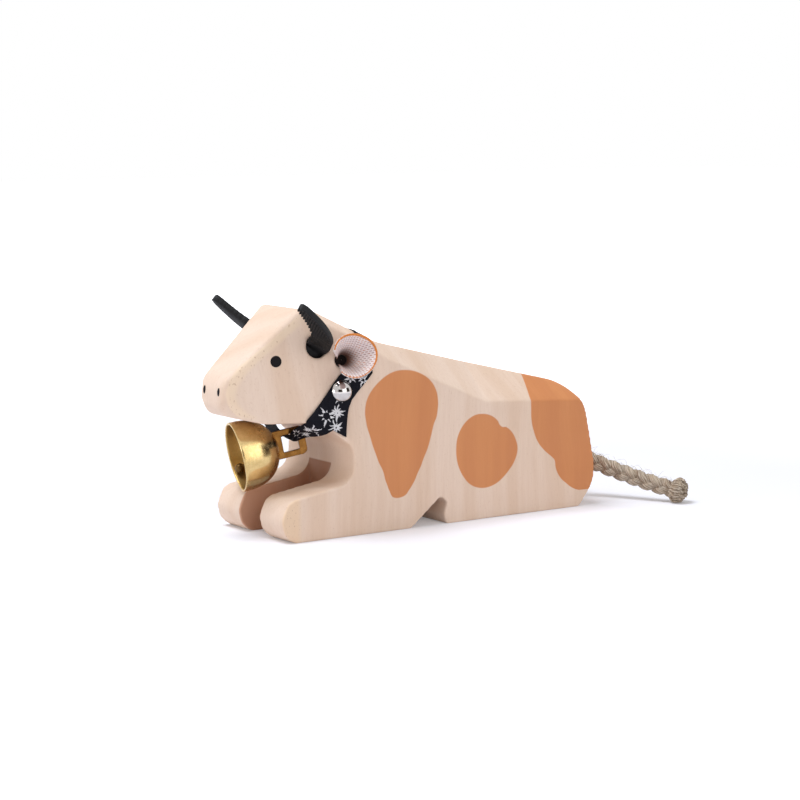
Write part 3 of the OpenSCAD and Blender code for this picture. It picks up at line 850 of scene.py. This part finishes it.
def buildHorn(spec, side, rubber):
    placed = hornMatrix(spec, side)
    stations = [(-spec["rootDepth"] * share, 0.0) for share in (1, 0.6, 0.3)]
    length, fine, last = 0.0, spec["rings"], hornPoint(spec, 0)
    for i in range(fine + 1):
        point = hornPoint(spec, i / fine)
        length += (point - last).length
        last = point
        stations.append((length, i / fine))
    rings = []
    wide, narrow = spec["widths"]
    for along, t in stations:
        run = hornRun(spec, t)
        middle = hornPoint(spec, t) + run * min(0, along)
        beyond = max(0, (t - spec["tipShare"]) / (1 - spec["tipShare"]))
        w = (wide + (narrow - wide) * t ** spec["taperPower"]) / 2 * math.sqrt(1 - 0.7 * beyond * beyond)
        rings.append([placed @ p for p in hornSection(spec, side, middle, run, w, along)])
    # The rolled root that fills the hole
    root = placed @ (-hornRun(spec, 0) * spec["rootDepth"] * 0.98)
    run = (placed.to_3x3() @ hornRun(spec, 0)).normalized()
    right = run.cross(up).normalized()
    hole = onCheek(*spec["base"], sideSign[side])
    normal = cheekNormal if side == "Left" else mirrored(cheekNormal)
    plug = []
    for radius, sink in spec["plug"]:
        ring = circle(root, right, right.cross(run), radius, 36)
        plug.append([p + run * (((hole - p).dot(normal) - sink) / run.dot(normal)) for p in ring])
    piece = addMesh("horn" + side, *joined([loft(rings), loft(plug)]))
    dress(piece, "body", [rubber], ["horn_" + side.lower()])


rubber = makeRubber(horn)
for side in sideSign:
    buildHorn(horn, side, rubber)
print("horns set")


def makeKnit(spec):
    material, tree, shader = newMaterial("earCloth")
    around, along, _ = partsOf(uvOf(tree, "cloth"))
    # Dashes of coloured thread, in rows
    rows = calc("DIVIDE", around, 0.84)
    inRow = fall(calc("ABSOLUTE", minus(calc("FRACT", rows), 0.5)), 0.14, 0.24)
    dash = calc("FRACT", plus(calc("DIVIDE", along, 1.5), times(calc("FLOOR", rows), 0.46)))
    mark = times(inRow, fall(calc("ABSOLUTE", minus(dash, 0.5)), 0.28, 0.36))
    wander = noiseOf(objectMillimetres(tree), 0.5, 2.0)
    thread = blend(ramp(wander, 0.5, 0.56), *spec["threadTones"])
    tone = blend(times(mark, 0.8), blend(wander, *spec["clothTones"]), thread)
    # Painted shade: the bottom of the roll, deep in the cone, is painted dark
    deep = lengthOf(around, along)
    for low, high, shadeTone in spec["hollowShades"]:
        tone = blend(fall(deep, low, high, True), tone, shadeTone)
    height = minus(useGroup(tree, threads, {"U": around, "V": along, "Pitch": 0.42}), mark)
    setInputs(shader, {"Base Color": tone, "Roughness": 0.9, "Sheen Weight": 0.1, "Sheen Roughness": 0.6,
                       "Specular IOR Level": 0.15, "Normal": bumpOf(height, 0.45, 0.0002)})
    return material


def makeFelt(spec):
    material, tree, shader = newMaterial("orangeEdging")
    hairs = noiseOf(objectMillimetres(tree), 2.6, 5.0, 0.7)
    setInputs(shader, {"Base Color": blend(ramp(hairs, 0.35, 0.68), *spec["edgingTones"]),
                       "Roughness": ramp(hairs, 0.3, 0.7, 0.95, 0.8), "Sheen Weight": 0.3,
                       "Normal": bumpOf(hairs, 0.8, 0.0002)})
    return material


def buildEar(spec, side, cloth, edging):
    hole, mouth = onCheek(*spec["hole"]), Vector(spec["mouth"])
    reach = (mouth - hole).length
    axis = (mouth - hole).normalized()
    right = (xAxis - axis * xAxis.dot(axis)).normalized()
    upward = axis.cross(right)
    around, steps = spec["around"], spec["steps"]
    opening, sweep = spec["wrap"]
    root, depth, tip = spec["rootRadius"], spec["depth"], spec["tip"]

    def clothRing(t, thick):
        grow = (max(0, t - 0.2) / 0.8) ** spec["flare"]
        at = hole + axis * (-depth + (reach + depth) * t)
        ring = []
        for share in (k / around for k in range(around + 1)):
            angle = math.radians(opening + sweep * share)
            lap = spec["cloth"] * 0.25 * share * (0.4 + 0.6 * grow)
            wave = 1 + 0.025 * math.sin(3 * angle + 1) * grow
            across, over = ((root + (half - root) * grow - lap) * wave - thick for half in spec["mouthHalf"])
            ring.append(at + across * math.cos(angle) * right + over * math.sin(angle) * upward)
        return ring

    outer = [clothRing(i / steps, 0) for i in range(steps + 1)]
    inner = [clothRing(i / steps, min(spec["cloth"], 0.3 + spec["cloth"] * i / steps))
             for i in range(steps + 1)]
    rings = outer + inner[::-1]
    sides, count = around + 1, len(rings)
    points = [p for ring in rings for p in ring]
    faces = ringFaces(count, sides, closed=False)
    for end in (0, sides - 1):
        for i in range(steps):
            a, b, c, d = (row * sides + end for row in (i, i + 1, count - 2 - i, count - 1 - i))
            faces.append((a, b, c, d) if end else (d, c, b, a))
    # The cloth is laid out flat, as the cone unrolls
    slant = math.atan(spec["mouthHalf"][0] / (reach + tip))
    places = []
    for ring in rings:
        for k, p in enumerate(ring):
            turn = math.radians(opening + sweep * k / around) * math.sin(slant)
            far = ((p - hole).dot(axis) + tip) / math.cos(slant)
            places.append((far * math.sin(turn), far * math.cos(turn)))
    # The end of the roll closes the hole
    faces += ringFaces(len(spec["rootEnd"]), around, first=len(points))
    for radius, along in spec["rootEnd"]:
        points += circle(hole + axis * along, right, upward, radius, around)
        places += [(0.0, radius)] * around
    rim = [a.lerp(b, 0.5) + axis * 0.15 for a, b in zip(outer[-1], inner[-1])]
    if side == "Right":
        points, rim = [mirrored(p) for p in points], [mirrored(p) for p in rim]
        faces = [tuple(reversed(face)) for face in faces]
    piece = addMesh("ear" + side, points, faces)
    addUv(piece, "cloth", places)
    dress(piece, "body", [cloth], ["ear_" + side.lower()])
    edge = addMesh("earEdging" + side, *tube(resample(rim, 0.7), spec["edgingRadius"], 8, lambda t: (
        0.62 + 0.38 * math.cos(math.radians(opening + sweep * t - 60)))))
    dress(edge, "body", [edging])


knit, felt = makeKnit(ear), makeFelt(ear)
for side in sideSign:
    buildEar(ear, side, knit, felt)
print("ears rolled")


# Ribbon: one strip from its cut end over the nape, under the throat and back to the nail
ribbon = {
    "width": 9.0,
    "thickness": 0.32,
    "columns": 12,
    "topLayer": [  # left and right edge on the near cheek, in length and height, from the cut end
        ((-39.6, 36.5), (-31.4, 31.6)), ((-39.5, 39.5), (-30.9, 36.4)), ((-38.6, 42.6), (-30.2, 40.3)),
        ((-37.1, 45.1), (-29.2, 42.9)), ((-34.6, 48.4), (-27.2, 45.2)), ((-31.9, 51.4), (-23.9, 48.6)),
        ((-29.9, 53.6), (-21.6, 51.3))],
    "lift": 0.35,
    "behindEar": [  # middle line, slope of the width, and gathering
        ((-24.9, 54.8), 14.0, 0.35), ((-24.4, 57.0), 5.0, 0.6)],
    "nape": (-23.9, 50.0),
    "napeTurns": (24, 156),
    "napeGather": (0.65, 1.0),
    "napeLift": 0.42,
    "farCheek": [((-27.0, 51.4), 36.0, 0.0), ((-30.0, 46.9), 36.0, 0.0), ((-32.0, 44.0), 36.0, 0.0)],
    "sling": [  # free stretch, with its shares of gathering and of hanging upright
        ((-34.0, 17.2, 41.3), 0.0, 0.0), ((-37.3, 17.0, 36.8), 0.0, 0.0), ((-39.2, 16.6, 34.1), 0.0, 0.2),
        ((-40.3, 15.5, 32.8), 0.05, 0.7), ((-40.6, 12.0, 32.5), 0.15, 1.0), ((-40.7, 7.6, 31.9), 0.4, 1.0),
        ((-40.6, 4.0, 30.9), 1.0, 0.0), ((-40.64, -1.42, 29.98), 1.0, 0.0), ((-40.3, -4.2, 31.2), 0.8, 0.0),
        ((-40.4, -7.4, 32.5), 0.62, 0.0), ((-40.6, -11.3, 33.4), 0.45, 0.0),
        ((-40.6, -14.6, 34.4), 0.3, 0.0), ((-39.9, -16.3, 35.6), 0.12, 0.0),
        ((-37.6, -16.9, 37.6), 0.0, 0.0), ((-34.2, -17.2, 41.5), 0.0, 0.0)],
    "across": [(0.809, -0.262, -0.588), (0.9, 0, -0.436), (0.35, 0.1, -0.93)],  # flat, gathered, hanging
    "gatheredWidth": 2.8,
    "foldDepth": 0.5,
}


def buildRibbon(spec, cloth):
    columns = spec["columns"]
    near, far = -yAxis, yAxis
    rows = []
    lefts, rights = (catmull([(*edges[k], 0) for edges in spec["topLayer"]], 5) for k in (0, 1))
    for left, right in zip(lefts, rights):
        lift = 0.75 - 0.4 * min(1, max(0, (left.y - 47) / 3))
        rows.append([onCheek(p.x, p.y) + near * lift
                     for p in (left.lerp(right, k / columns) for k in range(columns + 1))])
    full = []  # base point, width direction, outward direction, hold on the wood, lift, gathering

    def addBand(rows, outward):
        for (x, z), slope, gather in rows:
            wide = turned(xAxis, -up, math.radians(slope))
            full.append((Vector((x, 0, z)), wide, outward, 1.0, spec["lift"], gather))

    addBand(spec["behindEar"], near)
    napeX, napeZ = spec["nape"]
    low, high = spec["napeTurns"]
    loose, tight = spec["napeGather"]
    for k in range(31):
        outward = turned(near, up, math.radians(low + (high - low) * k / 30))
        rise = min(1, min(k, 30 - k) / 3)
        full.append((Vector((napeX, 0, napeZ)), xAxis, outward, 1.0,
                     spec["lift"] + (spec["napeLift"] - spec["lift"]) * rise, loose + (tight - loose) * rise))
    addBand(spec["behindEar"][::-1] + spec["farCheek"], far)
    free = []
    flat, gathered, hanging = (Vector(across) for across in spec["across"])
    for i, ((x, y, z), gather, upright) in enumerate(spec["sling"]):
        outward = far if y > 0 else near
        wide = Vector((flat.x, -flat.y * outward.y, flat.z)).lerp(gathered, gather).lerp(hanging, upright)
        hold = 1.0 if i in (0, len(spec["sling"]) - 1) else 0.0
        free.append((Vector((x, y, z)), wide.normalized(), outward, hold, 0.3, gather))
    last = onCheek(nail["place"][0] + 0.4, nail["place"][1] + 0.3)
    free.append((last, flat, near, 1.0, 0.3, 0.25))
    # The free stretch gets more stations
    for before, a, b, after in spans(free):
        for t in (step / 5 for step in range(5)):
            full.append((splinePoint(before[0], a[0], b[0], after[0], t), a[1].lerp(b[1], t).normalized(),
                         a[2].lerp(b[2], t).normalized(), a[3] + (b[3] - a[3]) * t, a[4],
                         a[5] + (b[5] - a[5]) * t))
    full.append(free[-1])
    centres = [station[0] for station in full]
    for i, (at, wide, outward, hold, lift, gather) in enumerate(full):
        width = spec["width"] + (spec["gatheredWidth"] - spec["width"]) * gather
        run = runAt(centres, i)
        face = run.cross(wide).normalized() if run.length > 0.001 else outward
        row = []
        for v in (k / columns - 0.5 for k in range(columns + 1)):
            fold = gather * spec["foldDepth"] * math.sin(3 * math.pi * v)
            point = at + wide * v * width + face * fold
            if hold > 0 and abs(outward.y) == 1:
                point = point.lerp(onCheek(point.x, point.z, outward.y) + outward * lift, hold)
            elif hold > 0:
                point = woodTree.ray_cast(point + outward * 60, -outward)[0] + outward * lift
            row.append(point)
        rows.append(row)
    middle = [row[columns // 2] for row in rows]
    lengths = [0.0]
    for a, b in zip(middle, middle[1:]):
        lengths.append(lengths[-1] + (b - a).length)
    piece = addMesh("collarRibbon", [p for row in rows for p in row],
                    ringFaces(len(rows), columns + 1, closed=False))
    addUv(piece, "cloth", [(length, (k / columns - 0.5) * spec["width"])
                           for length in lengths for k in range(columns + 1)])
    setAll(piece.modifiers.new("cloth", "SOLIDIFY"), thickness=spec["thickness"] * mm, offset=0)
    dress(piece, "body", [cloth], ["collar_ribbon"])
    print("ribbon length", round(lengths[-1], 1))


def makeFlower():
    group, given, result = newGroup(
        "flower", {"U": 0.0, "V": 0.0, "Centre U": 0.0, "Centre V": 0.0, "Radius": 3.0, "Hollow": 0.3,
                   "Petals": 8.0, "Turn": 0.0, "Stroke": 0.3}, "Mask")
    du, dv = minus(given["U"], given["Centre U"]), minus(given["V"], given["Centre V"])
    radius = lengthOf(du, dv)
    turn = plus(calc("ARCTAN2", dv, du), given["Turn"])
    sector = calc("DIVIDE", times(turn, given["Petals"]), fullTurn)
    petal = calc("ROUND", sector)
    angle = calc("DIVIDE", times(minus(sector, petal), fullTurn), given["Petals"])
    aside = calc("ABSOLUTE", times(radius, calc("SINE", angle)))
    uneven = calc("MULTIPLY_ADD", calc("SINE", times(petal, 2.4)), 0.26, 0.86)
    reach = times(given["Radius"], uneven)
    taper = minus(1.0, calc("POWER", calc("DIVIDE", radius, reach), 3.0))
    width = times(given["Stroke"], highest(taper, 0.0))
    stroke = ramp(minus(width, aside), -0.05, 0.05)
    hollow = ramp(minus(radius, times(given["Hollow"], given["Radius"])), -0.05, 0.05)
    inside = ramp(minus(reach, radius), -0.02, 0.05)
    setInputs(result, {"Mask": times(stroke, hollow, inside)})
    return group


flowers = {  # place in two directions, radius, hollow middle, petals, turn, half width of a petal
    "nearCheek": [
        (-37.4, 38.5, 3.3, 0.36, 8, 0.25, 0.36), (-33.9, 39.5, 2.7, 0.06, 10, 0.5, 0.3),
        (-34.6, 34.9, 2.6, 0.1, 9, 0.1, 0.3), (-40.9, 33.6, 2.2, 0.1, 9, 0.3, 0.28),
        (-32.4, 44.0, 2.3, 0.55, 6, 0.4, 0.3), (-28.6, 50.0, 2.2, 0.3, 6, 0.9, 0.32),
        (-24.9, 49.2, 2.2, 0.25, 7, 0.2, 0.28)],
    "repeated": [
        (4.0, -1.9, 3.3, 0.34, 8, 0.2, 0.34), (6.2, 2.1, 2.7, 0.1, 11, 0.5, 0.3),
        (11.4, -1.2, 2.6, 0.1, 10, 0.1, 0.3), (12.6, 3.0, 1.9, 0.3, 7, 0.4, 0.28),
        (1.0, 2.6, 1.6, 0.2, 5, 0.8, 0.25)],
    "repeat": 15.0,
    "wander": 1.2,
    "groundTones": ((4, 4, 9), (20, 20, 31)),
    "flowerTones": ((196, 194, 198), (246, 244, 244)),
}


def makeRibbonCloth(spec):
    material, tree, shader = newMaterial("ribbonCloth")
    u, v, _ = partsOf(uvOf(tree, "cloth"))
    flower = makeFlower()
    flat = objectMillimetres(tree)
    # The strokes wander a little, as thread does
    wander = vectorMath("SUBTRACT", noiseOf(flat, 0.8, 2.0, output=1), (0.5, 0.5, 0.5))
    x, y, z = partsOf(vectorMath("ADD", flat, vectorMath("MULTIPLY", wander, [spec["wander"]] * 3)))

    def motifMask(across, upward, rows):
        names = ("Centre U", "Centre V", "Radius", "Hollow", "Petals", "Turn", "Stroke")
        return highest(*(useGroup(tree, flower, {"U": across, "V": upward, **dict(zip(names, row))})
                         for row in rows))

    repeat = times(calc("FRACT", calc("DIVIDE", u, spec["repeat"])), spec["repeat"])
    mask = blend(fall(y, -14.5, -14.2), motifMask(repeat, v, spec["repeated"]),
                 motifMask(x, z, spec["nearCheek"]))
    gathered = times(ramp(y, -5.0, -3.0), fall(z, 34.0, 36.0))
    mask = calc("SUBTRACT", mask, gathered, clamp=True)
    height = useGroup(tree, threads, {"U": u, "V": v, "Pitch": 0.34})
    tone = blend(mask, blend(height, *spec["groundTones"]), blend(height, *spec["flowerTones"]))
    setInputs(shader, {"Base Color": tone, "Roughness": 0.75, "Specular IOR Level": 0.15,
                       "Normal": bumpOf(plus(height, mask), 0.6, 0.00012)})
    return material


buildRibbon(ribbon, makeRibbonCloth(flowers))
print("ribbon tied")


# Metals
def makeMetal(name, tint, dull, roughLow, roughHigh, size, bump):
    return markedMaterial(name, (tint, dull), (roughLow, roughHigh), size, (bump, 0.00005), {"Metallic": 1.0})


def normalTurn(outward):
    side = up.cross(outward).normalized()
    return Matrix((outward, side, outward.cross(side))).transposed().to_4x4()


def buildNail(spec, nickel):
    radius, height = spec["radius"], spec["height"]
    ball = (radius * radius + height * height) / (2 * height)
    profile = [(radius - 0.25, -0.1), (radius - 0.02, 0.0), (radius, 0.12)]
    for angle in (math.asin(radius / ball) * (1 - k / 24) for k in range(1, 25)):
        profile.append((max(ball * math.sin(angle), 0.002), ball * math.cos(angle) - ball + height))
    place = Matrix.Translation(onCheek(*spec["place"]) + cheekNormal * spec["lift"]) @ normalTurn(cheekNormal)
    piece = addMesh("collarNail", *lathe(profile, 64, place))
    dress(piece, "body", [nickel], ["collar_nail"])


buildNail(nail, makeMetal("brightNickel", (206, 202, 200), (184, 178, 176), 0.06, 0.16, 2.5, 0.08))
print("nail driven")


bell = {
    "pivot": (-40.641, -1.42, 29.977),
    "pitch": 11.2,
    "yaw": 17.2,
    "pass": (4.948, 1.798),      # where the ribbon goes through the loop
    "radius": 11.3,
    "depth": 13.8,
    "power": 2.63,
    "wall": 0.7,
    "pinch": 0.4,                # how much the mouth narrows at its foot
    "loop": {"front": -2.4, "back": 9.3, "height": 9.2, "middle": 0.6, "thickness": 1.2,
             "hole": (1.6, 6.9, -2.15, 3.35), "corner": 1.7, "holeCorner": 0.35, "bevel": 0.12},
    "hook": {"x": -2.78, "half": 1.76, "wire": 0.8, "turn": -36.0},
    "clapper": {"length": 12.6, "ball": 3.2},
}


def bellMatrix(spec, turn=0.0):
    return (Matrix.Translation(spec["pivot"]) @ Matrix.Rotation(math.radians(-spec["yaw"]), 4, "Z")
            @ Matrix.Rotation(math.radians(-spec["pitch"]), 4, "Y")
            @ Matrix.Translation((-spec["pass"][0], 0, -spec["pass"][1]))
            @ Matrix.Rotation(math.radians(turn), 4, "X"))


def domeProfile(radius, depth, power, steps=40):
    return [(max(radius * (1 - math.sin(a) ** power) ** 0.5, 0.004), -depth + depth * math.sin(a))
            for a in (math.pi / 2 * k / steps for k in range(steps + 1))]


def buildBell(spec, brass, inside):
    radius, depth, wall, sides = spec["radius"], spec["depth"], spec["wall"], 128
    outer = domeProfile(radius, depth, spec["power"])
    inner = [(r, x - wall) for r, x in domeProfile(radius - wall, depth - wall, spec["power"])]
    lip = [(radius - wall + 0.06, -depth - 0.1), (radius - wall / 2, -depth - 0.2),
           (radius - 0.08, -depth - 0.1)]
    points, faces = lathe(inner[::-1] + lip + outer, sides, Matrix.Identity(4))
    for p in points:  # the mouth was bent a little, towards a point at its foot
        low = min(1, max(0, -p.z / radius))
        p.y *= 1 - spec["pinch"] * low ** 4 * min(1, -p.x / depth)
    placed = bellMatrix(spec)
    piece = addMesh("bellShell", [placed @ p for p in points], faces)
    dress(piece, "bell", [brass, inside], ["bell_shell"])
    for index, face in enumerate(piece.data.polygons):
        face.material_index = 1 if index // sides < len(inner) else 0


def roundedRectangle(x0, x1, z0, z1, corner, steps=6):
    corners = ((x1 - corner, z1 - corner), (x0 + corner, z1 - corner), (x0 + corner, z0 + corner),
               (x1 - corner, z0 + corner))
    return [(cx + corner * math.cos(angle), cz + corner * math.sin(angle))
            for quarter, (cx, cz) in enumerate(corners)
            for angle in (math.radians(90 * (quarter + k / steps)) for k in range(steps + 1))]


def buildLoop(spec, brass):
    part, placed = spec["loop"], bellMatrix(spec)
    half, bevel = part["thickness"] / 2, part["bevel"]
    low, high = (part["middle"] + sign * part["height"] / 2 for sign in (-1, 1))
    hole = part["hole"]
    edges = ((bevel, -half), (0, -half + bevel), (0, half - bevel), (bevel, half))
    rings = [(y, roundedRectangle(part["front"] + inset, part["back"] - inset, low + inset, high - inset,
                                  part["corner"] - inset)) for inset, y in edges]
    rings += [(y, roundedRectangle(hole[0] - inset, hole[1] + inset, hole[2] - inset, hole[3] + inset,
                                   part["holeCorner"] + inset)) for inset, y in reversed(edges)]
    rings = [[placed @ Vector((x, y, z)) for x, z in ring] for y, ring in rings]
    points, faces = loft(rings, capStart=False, capEnd=False)
    sides = len(rings[0])
    last = len(points) - sides
    faces += [(last + k, last + (k + 1) % sides, (k + 1) % sides, k) for k in range(sides)]
    piece = addMesh("bellLoop", points, faces)
    setAll(piece.modifiers.new("edges", "EDGE_SPLIT"), split_angle=math.radians(30))
    dress(piece, "bell", [brass], ["bell_loop"])


def buildHook(spec, brass):
    part, placed = spec["hook"], bellMatrix(spec, spec["hook"]["turn"])
    x, half, corner = part["x"], part["half"], 0.5
    arm = [(-0.4, half), (x + corner * 1.6, half), (x + 0.15, half - 0.15), (x, half - corner)]
    path = catmull([(a, 0, b) for a, b in arm + [(x, 0)] + [(a, -b) for a, b in reversed(arm)]], 5)
    rings = [circle(p, yAxis, runAt(path, i).normalized().cross(yAxis), part["wire"] / 2, 12)
             for i, p in enumerate(path)]
    points, faces = loft(rings)
    piece = addMesh("bellHook", [placed @ p for p in points], faces)
    dress(piece, "bell", [brass], ["bell_hook"])


def buildClapper(spec, brass):
    part, hook = spec["clapper"], spec["hook"]
    radius, length, wire = part["ball"] / 2, part["length"], hook["wire"] / 2
    rest = math.asin((spec["radius"] - spec["wall"] - 0.3 - radius) / length)
    placed = (bellMatrix(spec, hook["turn"]) @ Matrix.Translation((hook["x"], 0, 0))
              @ Matrix.Rotation(math.pi - rest, 4, "Z"))
    eye = hook["wire"] + 0.3
    rings = [circle(eye * out, out, up, wire, 12) for out in circle(Vector(), xAxis, yAxis, 1, 48)]
    profile = [(0.002, eye - 0.05), (wire, eye - 0.05), (wire, length - radius - 0.5)]
    for turn in (math.pi * k / 18 for k in range(19)):
        r = radius * math.sin(turn)
        if r >= wire + 0.12 or turn >= math.pi / 2:  # the wire fills the start of the ball
            profile.append((max(r, 0.002), length - radius * math.cos(turn)))
    points, faces = joined([loft(rings + rings[:1], capStart=False, capEnd=False),
                            lathe(profile, 40, Matrix.Identity(4))])
    piece = addMesh("bellClapper", [placed @ p for p in points], faces)
    dress(piece, "clapper", [brass], ["clapper"])


darkBrass = makeMetal("darkBrass", (120, 92, 50), (84, 62, 36), 0.35, 0.55, 1.5, 0.3)
buildBell(bell, makeMetal("polishedBrass", (226, 200, 144), (202, 172, 114), 0.17, 0.3, 5.0, 0.1),
          makeMetal("satinBrass", (206, 174, 112), (186, 152, 92), 0.34, 0.46, 3.0, 0.15))
# Painted reflection: the loop's brass is darkened to stand in for the dark-brown reflection on its plate
buildLoop(bell, makeMetal("loopBrass", (144, 101, 50), (112, 74, 34), 0.26, 0.38, 2.0, 0.2))
buildHook(bell, darkBrass)
buildClapper(bell, darkBrass)
print("bell hung")


# Floor, backdrop light and lamps
stage = {
    "floorSize": 6.0,
    "floorTone": (0.83, 0.82, 0.86),
    "floorGlow": (0.16, 1.0),    # near the figure and far from it
    "glowReach": (0.16, 0.48),    # metres from the figure
    "skyTone": 0.42,
    "cardTone": (52, 38, 30),
    "darkCards": [  # corners of each card in metres
        ((-0.94, -0.73, 0.02), (-0.36, -1.13, 0.02), (-0.36, -1.13, 0.55), (-0.94, -0.73, 0.55)),
        ((0.4, -0.8, 0.0), (1.0, -0.6, 0.0), (1.0, -0.6, 0.6), (0.4, -0.8, 0.6))],
    "lamps": [  # name, place, size, power, colour
        ("keyLamp", (-0.33, 0.11, 1.04), 0.5, 8.0, (0.94, 1.0, 1.09)),
        ("sideLamp", (-1.2, 0.12, 0.14), 0.35, 2.5, (1.0, 1.0, 1.0)),
        ("frontLamp", (0.18, -1.08, 0.48), 0.9, 3.3, (1.0, 1.0, 1.0))],
}


def seenBy(tree, *kinds):
    path = addNode(tree, "LightPath", {}).outputs
    return highest(*(path[f"Is {kind} Ray"] for kind in kinds))


def addStagePiece(name, points, faces, material, surface):
    setInputs(material.node_tree.nodes["Material Output"], {"Surface": surface.outputs[0]})
    piece = addMesh(name, points, faces)
    piece.data.materials.append(material)


def buildStage(spec):
    half = spec["floorSize"] / 2 / mm
    material, tree, shader = newMaterial("paperFloor")
    setInputs(shader, {"Base Color": (*spec["floorTone"], 1), "Roughness": 0.9, "Specular IOR Level": 0.0})
    away = addNode(tree, "VectorMath", {0: addNode(tree, "TexCoord", {}).outputs["Object"]},
                   operation="LENGTH").outputs[1]
    glow = ramp(away, *spec["glowReach"], *spec["floorGlow"], smooth=True)
    seen = seenBy(tree, "Camera", "Glossy", "Transmission")
    glowing = addNode(tree, "Emission", {"Color": (1, 1, 1, 1), "Strength": times(seen, glow)})
    both = addNode(tree, "AddShader", {0: shader.outputs[0], 1: glowing.outputs[0]})
    addStagePiece("floor", [(-half, -half, 0), (half, -half, 0), (half, half, 0), (-half, half, 0)],
                  [(0, 1, 2, 3)], material, both)
    # Dark cards, which only the metals see
    material, tree, shader = newMaterial("darkCards")
    setInputs(shader, {"Base Color": colour(*spec["cardTone"]), "Roughness": 0.9})
    clear = addNode(tree, "BsdfTransparent", {})
    mixed = addNode(tree, "MixShader", {0: seenBy(tree, "Glossy"), 1: clear.outputs[0], 2: shader.outputs[0]})
    addStagePiece("darkCards", [Vector(corner) / mm for card in spec["darkCards"] for corner in card],
                  [(0, 1, 2, 3), (4, 5, 6, 7)], material, mixed)
    # The sky is brighter for the camera and for reflections than as a lamp
    world = bpy.data.worlds.new("studio")
    world.use_nodes = True
    bpy.context.scene.world = world
    seen = seenBy(world.node_tree, "Camera", "Glossy", "Transmission")
    setInputs(world.node_tree.nodes["Background"], {"Color": (1, 1, 1, 1),
                                                    "Strength": ramp(seen, 0.0, 1.0, spec["skyTone"], 1.0)})
    for name, place, size, power, tint in spec["lamps"]:
        lamp = setAll(bpy.data.lights.new(name, "AREA"), shape="SQUARE", size=size, energy=power, color=tint)
        setAll(addObject(name, lamp), location=place,
               rotation_euler=(-Vector(place)).to_track_quat("-Z", "Y").to_euler())


buildStage(stage)
print("stage lit")
